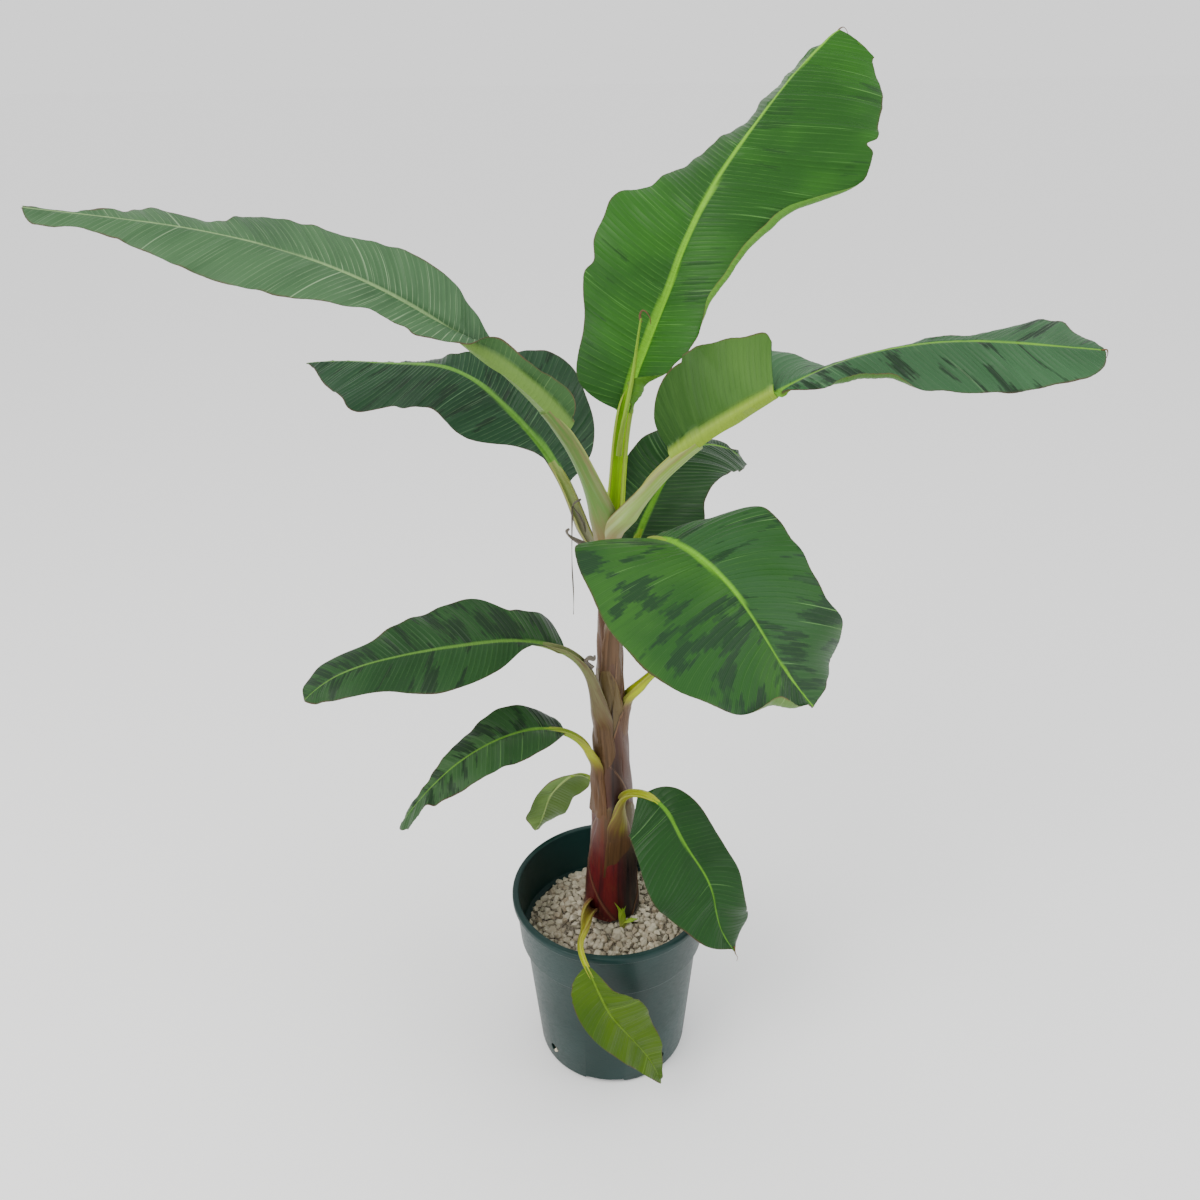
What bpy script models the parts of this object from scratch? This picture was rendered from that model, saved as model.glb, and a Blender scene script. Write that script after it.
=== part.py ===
"""A young banana plant in a round nursery pot, in metres, +Z up.

The pot stands on its flat underside at the origin. The stem rises a little behind the pot's axis,
and every leaf sets off from it as a tapering petiole that carries one thin blade.
"""
import math

import bpy
import numpy as np

# ---------------------------------------------------------------- driving dimensions
GAP = 0.0003                    # clearance between touching pieces
JOINT_GAP = 0.0009              # from a stalk's end to the middle of its blade's end, which lies askew
ROUND = 56                      # sides of the pot's turned pieces

POT_HEIGHT = 0.250
POT_RIM_RADIUS = 0.127
POT_WALL = 0.003
POT_LIP = 0.004                 # how far the rolled lip stands out of the collar
POT_LIP_DEPTH = 0.008
COLLAR_FOOT = 0.180             # height of the collar's lower edge
COLLAR_FOOT_RADIUS = 0.1185
BODY_TOP_RADIUS = 0.1125
POT_BASE_RADIUS = 0.0975
BASE_ROUNDING = 0.006
FLOOR = 0.004
FOOT_RING_HEIGHT = 0.014        # solid ring inside the foot, which the notches are cut into
FOOT_RING_WIDTH = 0.014
NOTCH_COUNT = 4
NOTCH_WIDTH = 0.055
NOTCH_HEIGHT = 0.007
NOTCH_DEPTH = 0.008
DRAIN_COUNT = 4
DRAIN_RADIUS = 0.0065
DRAIN_HEIGHT = 0.026
DRAIN_TURN = 218.0              # degrees, heading of the first drain hole
DRAIN_SIDES = 12
CENTRE_RADIUS = 0.004           # radius of the small round that closes the pot's floor

MIX_TOP = 0.164
PUMICE_EDGE = 0.184             # height of the pumice at the pot's wall
PUMICE_MOUND = 0.195            # and round the stem
MOUND_RADIUS = 0.040
PLANT_FOOT = PUMICE_MOUND + GAP

STEM_X, STEM_Y = 0.001, 0.030
STEM_TOP = 0.732
STEM_RADII = (0.0320, 0.0300, 0.0275, 0.0235, 0.0210, 0.0190, 0.0180, 0.0180)   # foot to top
STEM_LEAN = (0.000, 0.002, 0.003, 0.002, 0.001, 0.001, 0.002, 0.003)            # sideways, foot to top
STEM_SIDES = 20
STEM_STATIONS = 15

PETIOLE_SIDES = 10
PETIOLE_STATIONS = 9
BLADE_STATIONS = 20             # veins modelled along each blade
BLADE_HALF_COLUMNS = 4          # strips from the midrib to each margin
THICKNESS_SHARE = 0.011         # blade thickness over blade length
TIP_HALF_WIDTH = 0.0015
VEIN_BEND = 0.15                # how far forward a vein has curved at the widest, as a share of that


def leaf(start, length, blade_from, climb, heading, radii, left, right, roll=(0, 0), rise_left=(12, 12),
         rise_right=(12, 12), curl_left=(-10, -10), curl_right=(-10, -10), sweep=(0.1, 0.1, 0.8), lobe=0.0,
         rib=(1.0, 0.55, 0.3, 0.2)):
    """One leaf: where it sets off, its length and the length of stalk before the blade, in metres.

    climb and heading are the limb's angles at even steps along it. radii are the petiole's, and left
    and right the blade's half-widths at stations that crowd towards both its ends, all in millimetres.
    roll turns the blade about its midrib; rise and curl are each half's angle at the midrib and how
    much it changes out to the margin. sweep is how far forward the veins run: at the base on the left,
    at the base on the right, and at the tip. lobe is how far the blade reaches back past the end of its
    petiole, as a share of the midrib. rib is the midrib's radius along the blade, as a share of the
    petiole's last one.
    """
    return dict(start=start, length=length, blade_from=blade_from, climb=climb, heading=heading,
                radii=radii, left=left, right=right, roll=roll, rise_left=rise_left, rise_right=rise_right,
                curl_left=curl_left, curl_right=curl_right, sweep=sweep, lobe=lobe, rib=rib)


LEAVES = {
    "top_leaf": leaf(
        (0.005, 0.042, 0.697), 0.664, 0.166, (84, 80, 60, 58, 44, 38, 34), (20, 60, 42, 47, 41, 41, 30),
        radii=(10, 9.5, 9), left=(0, 56, 72, 97, 63, 36, 36, 9, 0),
        right=(0, 27, 55, 63, 86, 126, 108, 76, 0), roll=(-25, -25),
        rise_left=(18, 20, 15, -21, -48, -42), rise_right=(45, 35, 16, -2, 2, -10),
        curl_left=(-15, -15, -10, 0), curl_right=(-20, -20), sweep=(0.0, 0.0, 0.6)),
    "left_long_leaf": leaf(
        (-0.002, 0.022, 0.703), 0.723, 0.176, (82, 67, 45, 35, 20, 9, 7),
        (-84, -148, -164, -167, -175, -180, -180), radii=(14, 14, 12),
        left=(0, 26, 23, 32, 52, 47, 21, 12, 0), right=(0, 4, 6, 40, 44, 33, 13, 4, 0),
        roll=(0, 10, 25, 30, 30), rise_left=(81, 87, 5, 11, 2, 8, -4),
        rise_right=(20, 30, 55, 15, -5, -10, -10), curl_left=(-20, -20, -30, -30), sweep=(0.1, 0.1, 1.0),
        rib=(1.0, 0.5, 0.2, 0.15)),
    "right_long_leaf": leaf(
        (0.007, 0.014, 0.706), 0.586, 0.150, (81, 54, 37, 32, 13, -2, -5),
        (-50, -19, -12, -14, -13, -9, -4), radii=(14, 14, 12), left=(0, 31, 57, 69, 36, 17, 49, 21, 0),
        right=(0, 50, 82, 60, 48, 61, 49, 31, 0), roll=(0, -8, -22, -28, -25),
        rise_left=(60, 83, -3, -49, -25, -10, -1),
        rise_right=(86, 82, 86, 92, 27, 0, -7, -10, -3, 0, -5, 0, 0), curl_right=(-15, -15, 0, -15, -15),
        sweep=(0.2, 0.2, 1.0)),
    "left_back_leaf": leaf(
        (-0.010, 0.045, 0.673), 0.510, 0.112, (76, 58, 38, 34, -2, -2, -10),
        (156, 132, 140, 156, 154, 159, 156), radii=(8, 8, 7), left=(0, 0, 15, 60, 56, 72, 48, 10, 0),
        right=(0, 46, 76, 82, 25, 26, 22, 10, 0), roll=(40, 45, 45, 35, 30), rise_left=(10, 10),
        rise_right=(17, 18, -9, -37, -53, -50), sweep=(0.0, 0.0, 0.8)),
    "right_back_leaf": leaf(
        (0.006, 0.036, 0.630), 0.363, 0.073, (66, 57, 40, 37, -7, -25, -45), (30, 55, 56, 50, 53, 46, 50),
        radii=(8, 7.5, 6), left=(0, 33, 54, 56, 46, 20, 4, 11, 0),
        right=(0, 44, 73, 61, 61, 54, 32, 11, 0), roll=(0, -10, -30, -40), sweep=(0.0, 0.0, 0.8)),
    "front_right_leaf": leaf(
        (0.008, 0.010, 0.607), 0.446, 0.181, (72, 67, 52, 7, -22, -43, -44),
        (-61, -77, -59, -56, -53, -50, -29), radii=(9, 8, 7), left=(0, 20, 27, 88, 85, 84, 100, 71, 0),
        right=(0, 61, 98, 116, 123, 122, 91, 19, 0), roll=(-5, -15, -8, 0), rise_left=(12, 8, 4, 4),
        rise_right=(24, 7, 8, 8), sweep=(0.0, -0.6, 0.7), lobe=0.08),
    "right_mid_leaf": leaf(
        (0.011, 0.030, 0.455), 0.303, 0.119, (82, 70, 44, 20, -5, -28, -42), (-16, -4, 4, 10, 15, 9, 3),
        radii=(7, 6.5, 5), left=(0, 22, 32, 36, 36, 32, 24, 12, 0),
        right=(0, 22, 32, 36, 36, 32, 24, 12, 0)),
    "left_mid_leaf": leaf(
        (-0.009, 0.012, 0.475), 0.452, 0.146, (81, 76, 36, 9, 1, -12, -44),
        (-99, -145, -156, -158, -161, -167, -175), radii=(8, 7.5, 5),
        left=(0, 0, 4, 38, 54, 41, 31, 14, 0), right=(0, 49, 47, 64, 56, 30, 28, 18, 0),
        roll=(20, 22, 22, 20), rise_left=(4, 10), rise_right=(4, 5), curl_left=(-25, -25)),
    "left_low_leaf": leaf(
        (-0.012, 0.020, 0.372), 0.382, 0.138, (81, 76, 41, 3, -19, -42, -60),
        (-117, -135, -153, -156, -153, -160, -188), radii=(7, 6.5, 4.5),
        left=(0, 12, 30, 40, 38, 28, 21, 14, 0), right=(0, 24, 31, 36, 26, 10, 6, 5, 0),
        roll=(15, 15, 15, 10), rise_left=(10, 10), rise_right=(10, 9), curl_left=(-20, -20)),
    "back_small_leaf": leaf(
        (-0.009, 0.050, 0.283), 0.253, 0.093, (66, 84, 25, -42, -57, -74, -58),
        (121, 79, 133, 157, 144, 151, 172), radii=(5, 4.5, 3), left=(0, 3, 2, 7, 16, 21, 23, 9, 0),
        right=(0, 16, 33, 43, 34, 33, 27, 17, 0), roll=(-50, -50, -50)),
    "right_low_leaf": leaf(
        (0.008, 0.012, 0.298), 0.372, 0.130, (67, 90, 25, -53, -48, -76, -52),
        (-62, -73, -38, -38, -36, -44, -10), radii=(7, 6.5, 5), left=(0, 3, 29, 40, 40, 41, 43, 48, 0),
        right=(0, 49, 53, 58, 71, 59, 32, 6, 0), roll=(-45, -35, -25, -20), rise_left=(5, 5),
        rise_right=(5, 5), sweep=(0.0, 0.0, 0.8)),
    "basal_leaf": leaf(
        (-0.025, 0.010, 0.208), 0.391, 0.169, (35, 19, 18, -65, -60, -63, -78),
        (-102, -92, -95, -32, 8, 13, 17), radii=(5, 4.5, 3.5), left=(0, 8, 18, 35, 36, 26, 12, 4, 0),
        right=(0, 20, 32, 34, 30, 23, 14, 5, 0), roll=(-65, -65), sweep=(0.15, 0.15, 0.8),
        rib=(0.6, 0.5, 0.3, 0.2)),
}

SPEAR = dict(start=(0.015, 0.043, 0.818), length=0.150, climb=(78, 79, 78, 83, 80),
             heading=(-75, -18, 12, 8, 16))
SPEAR_RADII = (0.0030, 0.0008)  # the unopened leaf, foot and tip
SPEAR_STATIONS = 10
SPEAR_SIDES = 8
SPROUT = (                      # the shoot at the stem's foot: radius, height, x and y of each ring
    (0.0065, PLANT_FOOT, 0.0145, -0.0115),
    (0.0055, PLANT_FOOT + 0.010, 0.0135, -0.0110),
    (0.0035, PLANT_FOOT + 0.020, 0.0100, -0.0095),
    (0.0012, PLANT_FOOT + 0.030, 0.0050, -0.0080),
)

PETIOLES_YIELD = {              # stalks that give way to others where they crowd at the crown
    "top_leaf": ("left_long_leaf", "right_long_leaf"),
    "left_long_leaf": ("right_long_leaf",),
}
BLADES_YIELD = ("front_right_leaf", "right_low_leaf")    # blades trimmed clear of their stalks

POT_FINISH = ((0.020, 0.060, 0.062), 0.45)      # colour and roughness
MIX_FINISH = ((0.060, 0.040, 0.025), 0.95)
PUMICE_FINISH = ((0.520, 0.460, 0.390), 0.90)
STEM_FINISH = ((0.180, 0.075, 0.045), 0.50)
STALK_FINISH = ((0.250, 0.330, 0.080), 0.45)
BLADE_FINISH = ((0.035, 0.150, 0.030), 0.40)
SPEAR_FINISH = ((0.300, 0.420, 0.060), 0.45)
SHARP_ANGLE = 40                # degrees, above which an edge isn't shaded smooth


# ---------------------------------------------------------------- curves and surfaces
def profile(values, t, crowded=False):
    """Smooth value at t (0 to 1) through values at even stations, or at ones that crowd to both ends."""
    values = np.asarray(values, float)
    last = len(values) - 1
    x = (np.arccos(np.clip(1 - 2 * t, -1, 1)) / math.pi if crowded else np.clip(t, 0, 1)) * last
    i = np.clip(x.astype(int), 0, last - 1)
    f = x - i
    a, b, c, d = (values[np.clip(i + k, 0, last)] for k in (-1, 0, 1, 2))
    return b + 0.5 * f * (c - a + f * (2 * a - 5 * b + 4 * c - d + f * (3 * (b - c) + d - a)))


def limb_path(spec, steps=161):
    """Even points along a limb that follows its climb and heading angles."""
    along = np.linspace(0, 1, steps)
    climb = np.radians(profile(spec["climb"], along))
    heading = np.radians(profile(spec["heading"], along))
    level = np.cos(climb)
    tangent = np.stack([level * np.cos(heading), level * np.sin(heading), np.sin(climb)], -1)
    step = (tangent[1:] + tangent[:-1]) / 2 * spec["length"] / (steps - 1)
    return np.array(spec["start"]) + np.concatenate([np.zeros((1, 3)), np.cumsum(step, axis=0)])


def cut_path(path, start, end, steps):
    """Even points of the stretch of a path between two shares of its length."""
    at = np.linspace(start, end, steps) * (len(path) - 1)
    return np.stack([np.interp(at, np.arange(len(path)), path[:, k]) for k in range(3)], -1)


def frames(path, roll):
    """Tangent, upper side and right side along a path, rolled about it by angles in radians."""
    tangent = np.gradient(path, axis=0)
    tangent /= np.linalg.norm(tangent, axis=1)[:, None]
    up = np.array([0, 0, 1.0]) - tangent * tangent[:, 2:3]
    up /= np.linalg.norm(up, axis=1)[:, None]
    side = np.cross(tangent, up)
    c, s = np.cos(roll)[:, None], np.sin(roll)[:, None]
    return tangent, up * c - side * s, side * c + up * s


class BladeSurface:
    """The sheet of one leaf blade, read by share of the midrib and distance out from it."""

    def __init__(self, spec, steps=121):
        self.spec = spec
        self.path = cut_path(limb_path(spec), spec["blade_from"] / spec["length"], 1, steps)
        self.length = spec["length"] - spec["blade_from"]
        along = np.linspace(0, 1, steps)
        self.tangent, self.up, self.side = frames(self.path, np.radians(profile(spec["roll"], along)))

    def width(self, t, half):
        lobe = self.spec["lobe"]
        share = (t + lobe) / (1 + lobe)
        return profile(self.spec[half], np.clip(share, 0, 1), True) / 1000 * ((share >= 0) & (share <= 1))

    def run(self, start, out, half):
        """Share of the midrib that veins from the given starts have reached at a distance out."""
        base_left, base_right, tip = self.spec["sweep"]
        base = base_left if half == "left" else base_right
        bend = VEIN_BEND * out * out / (max(self.spec[half]) / 1000) * np.minimum(start * 10, 1)
        return start + ((base + (tip - base) * start) * out + bend) / self.length

    def point(self, t, out, half, pose=None):
        """Point at share t of the midrib, a distance out on one half that is posed as at share pose."""
        pose = np.clip(t if pose is None else pose, 0, 1)
        at = np.clip(t, 0, 1) * (len(self.path) - 1)
        count = np.arange(len(self.path))
        centre, up, side = (np.stack([np.interp(at, count, field[:, k]) for k in range(3)], -1)
                            for field in (self.path, self.up, self.side))
        centre = centre + self.tangent[0] * np.minimum(t, 0)[..., None] * self.length
        widest = max(self.spec[half]) / 1000
        width = np.maximum(self.width(np.clip(t, 0, 1), half), 0.5 * widest)
        rise = np.radians(profile(self.spec["rise_" + half], pose))
        curl = np.radians(profile(self.spec["curl_" + half], pose)) / width
        curl = np.where(np.abs(curl) < 1e-3, 1e-3, curl)
        turned = rise + curl * out
        across = (np.sin(turned) - np.sin(rise)) / curl
        lift = (np.cos(rise) - np.cos(turned)) / curl
        sign = -1 if half == "left" else 1
        return centre + sign * side * across[..., None] + up * lift[..., None]

    def grid(self, stations, columns, least):
        """Points of veins (rows) from the left margin over the midrib to the right one (columns)."""
        start = np.linspace(0, 1, stations)[:, None]
        halves = []
        for half in ("left", "right"):
            out = np.linspace(0, 1.3 * max(self.spec[half]) / 1000, 400)[None, :]
            past = out > self.width(self.run(start, out, half), half)
            past[:, -1] = True
            reach = np.maximum(out[0, np.argmax(past, axis=1)], least)
            out = reach[:, None] * np.linspace(0, 1, columns + 1)[None, :]
            halves.append(self.point(self.run(start, out, half), out, half))
        return np.concatenate([halves[0][:, :0:-1], halves[1]], axis=1)


# ---------------------------------------------------------------- solids
def material(name, colour, roughness):
    made = bpy.data.materials.new(name)
    made.use_nodes = True
    made.diffuse_color = (*colour, 1)
    shader = made.node_tree.nodes["Principled BSDF"]
    shader.inputs["Base Color"].default_value = (*colour, 1)
    shader.inputs["Roughness"].default_value = roughness
    shader.inputs["Metallic"].default_value = 0
    return made


def mesh_object(name, points, faces, finish=None):
    """Object from points and faces; finish is its material's colour and roughness."""
    mesh = bpy.data.meshes.new(name)
    mesh.from_pydata([tuple(map(float, p)) for p in points], [], faces)
    mesh.update()
    mesh.shade_smooth()
    mesh.set_sharp_from_angle(angle=math.radians(SHARP_ANGLE))
    made = bpy.data.objects.new(name, mesh)
    bpy.context.collection.objects.link(made)
    if finish:
        mesh.materials.append(material(name, *finish))
    return made


def guide(made):
    """Mark an object as a hidden guide that only cuts others."""
    made.hide_render = True
    made.display_type = "WIRE"
    return made


def cut(target, cutter):
    boolean = target.modifiers.new("cut_" + cutter.name, "BOOLEAN")
    boolean.operation = "DIFFERENCE"
    boolean.object = cutter


def loft(name, rings, finish=None):
    """Solid through rings of the same count of points, with flat caps on its two ends."""
    rings = np.asarray(rings, float)
    count, sides = rings.shape[:2]
    faces = []
    for low in range(0, (count - 1) * sides, sides):
        for k in range(sides):
            after = (k + 1) % sides
            faces.append([low + k, low + after, low + sides + after, low + sides + k])
    faces.append(list(range(sides))[::-1])
    faces.append([(count - 1) * sides + k for k in range(sides)])
    return mesh_object(name, rings.reshape(-1, 3), faces, finish)


def turned(name, outline, finish=None, sides=ROUND):
    """Solid turned about Z: its outline is (radius, height) or (radius, height, x, y) of each ring."""
    angle = 2 * math.pi * np.arange(sides) / sides
    rings = []
    for radius, height, *centre in outline:
        x, y = centre or (0, 0)
        level = np.full(sides, height)
        rings.append(np.stack([x + radius * np.cos(angle), y + radius * np.sin(angle), level], -1))
    return loft(name, rings, finish)


def tube(name, path, radii, sides, finish=None):
    """Limb of round section along a path, turning about it as little as it can."""
    tangent = np.gradient(path, axis=0)
    tangent /= np.linalg.norm(tangent, axis=1)[:, None]
    side = np.cross(tangent[0], (0, 1, 0) if abs(tangent[0][1]) < 0.9 else (1, 0, 0))
    angle = 2 * math.pi * np.arange(sides) / sides
    rings = []
    for centre, along, radius in zip(path, tangent, radii):
        side = side - along * np.dot(side, along)
        side /= np.linalg.norm(side)
        other = np.cross(along, side)
        rings.append(centre + radius * (np.outer(np.cos(angle), side) + np.outer(np.sin(angle), other)))
    return loft(name, rings, finish)


def sheet(name, grid, above, below, finish):
    """Closed solid round a grid of points, its faces the given distances above and below it."""
    normal = np.cross(np.gradient(grid, axis=1), np.gradient(grid, axis=0))
    normal /= np.linalg.norm(normal, axis=2)[:, :, None]
    upper = grid + normal * above[:, :, None]
    lower = grid - normal * below[:, :, None]
    return loft(name, np.concatenate([upper, lower[:, ::-1]], axis=1), finish)


# ---------------------------------------------------------------- pot and filling
def body_radius(height):
    """Outer radius of the pot below its collar."""
    return POT_BASE_RADIUS + (BODY_TOP_RADIUS - POT_BASE_RADIUS) * height / COLLAR_FOOT


def inner_radius(height):
    """Radius of the pot's inside at a height."""
    if height <= COLLAR_FOOT - POT_WALL:
        return body_radius(height) - POT_WALL
    share = max(height - COLLAR_FOOT, 0) / (POT_HEIGHT - COLLAR_FOOT)
    return COLLAR_FOOT_RADIUS - POT_WALL + (POT_RIM_RADIUS - POT_LIP - COLLAR_FOOT_RADIUS) * share


def outward(angle):
    """Unit vectors out along a heading and sideways from it."""
    return np.array([math.cos(angle), math.sin(angle), 0]), np.array([-math.sin(angle), math.cos(angle), 0])


def notch(name, angle):
    """Block that cuts one notch out of the pot's foot."""
    out, aside = outward(angle)
    corners = ((-1, -1), (1, -1), (1, 1), (-1, 1))
    rings = [[out * (POT_BASE_RADIUS + a * NOTCH_DEPTH) + aside * b * NOTCH_WIDTH / 2 + np.array([0, 0, height])
              for a, b in corners] for height in (-NOTCH_HEIGHT, NOTCH_HEIGHT)]
    return loft(name, rings)


def drain(name, angle):
    """Round bar that cuts one drain hole through the pot's wall."""
    out, _ = outward(angle)
    centre = out * body_radius(DRAIN_HEIGHT) + np.array([0, 0, DRAIN_HEIGHT])
    return tube(name, np.array([centre - out * 2 * POT_WALL, centre + out * 2 * POT_WALL]),
                (DRAIN_RADIUS, DRAIN_RADIUS), DRAIN_SIDES)


def build_pot():
    ring_inside = POT_BASE_RADIUS - FOOT_RING_WIDTH
    pot = turned("pot", [
        (CENTRE_RADIUS, 0),
        (POT_BASE_RADIUS - BASE_ROUNDING, 0),
        (POT_BASE_RADIUS - BASE_ROUNDING * 0.3, BASE_ROUNDING * 0.3),
        (body_radius(BASE_ROUNDING), BASE_ROUNDING),
        (body_radius(COLLAR_FOOT), COLLAR_FOOT),
        (COLLAR_FOOT_RADIUS, COLLAR_FOOT + POT_WALL),
        (POT_RIM_RADIUS - POT_LIP, POT_HEIGHT - POT_LIP_DEPTH),
        (POT_RIM_RADIUS, POT_HEIGHT - POT_LIP_DEPTH * 0.7),
        (POT_RIM_RADIUS, POT_HEIGHT - POT_LIP * 0.5),
        (POT_RIM_RADIUS - POT_LIP * 0.5, POT_HEIGHT),
        (inner_radius(POT_HEIGHT), POT_HEIGHT),
        (inner_radius(COLLAR_FOOT), COLLAR_FOOT),
        (inner_radius(COLLAR_FOOT - POT_WALL), COLLAR_FOOT - POT_WALL),
        (inner_radius(FOOT_RING_HEIGHT), FOOT_RING_HEIGHT),
        (ring_inside, FOOT_RING_HEIGHT),
        (ring_inside, FLOOR),
        (CENTRE_RADIUS, FLOOR),
    ], POT_FINISH)
    for k in range(NOTCH_COUNT):
        turn = math.radians(DRAIN_TURN + 360 / NOTCH_COUNT * (k + 0.5))
        cut(pot, guide(notch("foot_notch_%d" % k, turn)))
    for k in range(DRAIN_COUNT):
        cut(pot, guide(drain("drain_hole_%d" % k, math.radians(DRAIN_TURN + 360 / DRAIN_COUNT * k))))


def build_filling():
    ring_inside = POT_BASE_RADIUS - FOOT_RING_WIDTH
    turned("potting_mix", [
        (ring_inside - GAP, FLOOR + GAP),
        (ring_inside - GAP, FOOT_RING_HEIGHT + GAP),
        (inner_radius(FOOT_RING_HEIGHT + GAP) - GAP, FOOT_RING_HEIGHT + GAP),
        (inner_radius(MIX_TOP) - GAP, MIX_TOP),
    ], MIX_FINISH)
    bed = MIX_TOP + GAP
    ledge = COLLAR_FOOT - POT_WALL
    outer = inner_radius(PUMICE_EDGE) - 2 * GAP
    outline = [(inner_radius(bed) - GAP, bed), (inner_radius(ledge) - GAP, ledge - GAP)]
    outline.append((outer, PUMICE_EDGE))
    for share in (0.75, 0.5, 0.25, 0):
        height = PUMICE_EDGE + (PUMICE_MOUND - PUMICE_EDGE) * (1 + math.cos(math.pi * share)) / 2
        outline.append((MOUND_RADIUS + (outer - MOUND_RADIUS) * share, height,
                        STEM_X * (1 - share), STEM_Y * (1 - share)))
    turned("pumice_topping", outline, PUMICE_FINISH)


# ---------------------------------------------------------------- plant
def build_stem(name, fatter=0.0, finish=None):
    """The stem, or with fatter over 0 the guide that keeps the petioles clear of it."""
    outline = []
    for along in np.linspace(0, 1, STEM_STATIONS):
        height = PLANT_FOOT + along * (STEM_TOP + fatter - PLANT_FOOT)
        radius, x = profile(STEM_RADII, along) + fatter, STEM_X + profile(STEM_LEAN, along)
        outline.append((radius, height, x, STEM_Y))
    return turned(name, outline, finish, STEM_SIDES)


def petiole(name, spec, fatter=0.0, finish=None):
    """The stalk of a leaf, or with fatter over 0 the guide that keeps others clear of it."""
    path = cut_path(limb_path(spec), 0, (spec["blade_from"] - JOINT_GAP) / spec["length"], PETIOLE_STATIONS)
    radii = profile(spec["radii"], np.linspace(0, 1, PETIOLE_STATIONS)) / 1000 + fatter
    path[-1] += (path[-1] - path[-2]) / np.linalg.norm(path[-1] - path[-2]) * fatter
    return tube(name, path, radii, PETIOLE_SIDES, finish)


def blade(name, spec):
    surface = BladeSurface(spec)
    rib = profile(spec["rib"], np.linspace(0, 1, BLADE_STATIONS)) * spec["radii"][-1] / 1000
    rib = np.maximum(rib, TIP_HALF_WIDTH)
    grid = surface.grid(BLADE_STATIONS, BLADE_HALF_COLUMNS, rib)
    thick = THICKNESS_SHARE * surface.length / 2
    above = np.full(grid.shape[:2], thick)
    below = above.copy()
    below[:, BLADE_HALF_COLUMNS] = np.maximum(rib, thick)
    return sheet(name, grid, above, below, BLADE_FINISH)


def build_plant():
    build_stem("stem", finish=STEM_FINISH)
    stem_guide = guide(build_stem("stem_guide", GAP))
    guides = {name: guide(petiole(name + "_guide", spec, GAP)) for name, spec in LEAVES.items()}
    for name, spec in LEAVES.items():
        stalk = petiole(name + "_petiole", spec, finish=STALK_FINISH)
        cut(stalk, stem_guide)
        for other in PETIOLES_YIELD.get(name, ()):
            cut(stalk, guides[other])
        lamina = blade(name + "_blade", spec)
        if name in BLADES_YIELD:
            cut(lamina, guides[name])
    spear = limb_path(SPEAR, SPEAR_STATIONS)
    radii = np.linspace(*SPEAR_RADII, SPEAR_STATIONS)
    shoot = tube("new_leaf_spear", spear, radii, SPEAR_SIDES, SPEAR_FINISH)
    cut(shoot, guides["top_leaf"])
    turned("basal_shoot", SPROUT, STALK_FINISH, SPEAR_SIDES)


def main():
    for old in list(bpy.data.objects):
        bpy.data.objects.remove(old, do_unlink=True)
    build_pot()
    build_filling()
    build_plant()


main()
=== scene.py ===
"""Fine model of the potted banana plant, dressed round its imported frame.

Lengths are in metres, in the frame's own axes. Every leaf repeats the limb and blade that its solids
follow, and adds pleats, ruffles, a midrib, a channelled petiole and dry edges.
"""
import math
import random

import bmesh
import bpy
import numpy as np
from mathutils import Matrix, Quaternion, Vector


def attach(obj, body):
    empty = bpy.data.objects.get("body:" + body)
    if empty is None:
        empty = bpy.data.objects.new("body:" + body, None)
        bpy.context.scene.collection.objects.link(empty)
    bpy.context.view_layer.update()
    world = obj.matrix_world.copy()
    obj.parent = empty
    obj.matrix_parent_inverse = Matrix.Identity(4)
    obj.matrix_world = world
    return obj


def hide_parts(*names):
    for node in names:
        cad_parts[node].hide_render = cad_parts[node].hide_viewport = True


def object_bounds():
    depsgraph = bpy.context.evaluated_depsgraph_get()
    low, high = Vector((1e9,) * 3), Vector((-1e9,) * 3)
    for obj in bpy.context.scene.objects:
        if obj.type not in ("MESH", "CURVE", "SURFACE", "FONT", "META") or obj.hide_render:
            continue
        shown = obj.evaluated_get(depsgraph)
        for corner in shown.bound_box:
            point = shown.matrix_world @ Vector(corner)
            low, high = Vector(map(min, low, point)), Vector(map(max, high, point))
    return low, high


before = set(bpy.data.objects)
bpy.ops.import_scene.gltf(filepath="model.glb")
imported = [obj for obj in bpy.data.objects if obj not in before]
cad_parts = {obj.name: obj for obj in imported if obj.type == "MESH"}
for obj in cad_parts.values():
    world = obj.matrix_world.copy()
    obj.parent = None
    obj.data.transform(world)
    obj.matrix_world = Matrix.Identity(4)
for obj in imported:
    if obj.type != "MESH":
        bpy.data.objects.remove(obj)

cad_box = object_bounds()

# ---------------------------------------------------------------- camera
CAMERA_AT = (-0.008, -1.070, 1.214)
CAMERA_PITCH = 27.2             # degrees below the horizon
CAMERA_ROLL = -0.94             # degrees about the line of sight
SENSOR = 36.0                   # its width in millimetres, for an image 1200 pixels wide
FOCAL = SENSOR * 1080 / 1200
CLIP_END = 50


def placed(name, data, location=(0, 0, 0)):
    """A new object in the scene."""
    made = bpy.data.objects.new(name, data)
    made.location = location
    bpy.context.collection.objects.link(made)
    return made


def make_camera():
    lens = bpy.data.cameras.new("camera")
    lens.sensor_width = SENSOR
    lens.lens = FOCAL
    lens.clip_end = CLIP_END
    camera = placed("camera", lens, CAMERA_AT)
    camera.rotation_mode = "QUATERNION"
    pitch, roll = math.radians(90 - CAMERA_PITCH), math.radians(CAMERA_ROLL)
    camera.rotation_quaternion = Quaternion((1, 0, 0), pitch) @ Quaternion((0, 0, 1), roll)
    bpy.context.scene.camera = camera


make_camera()


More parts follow.
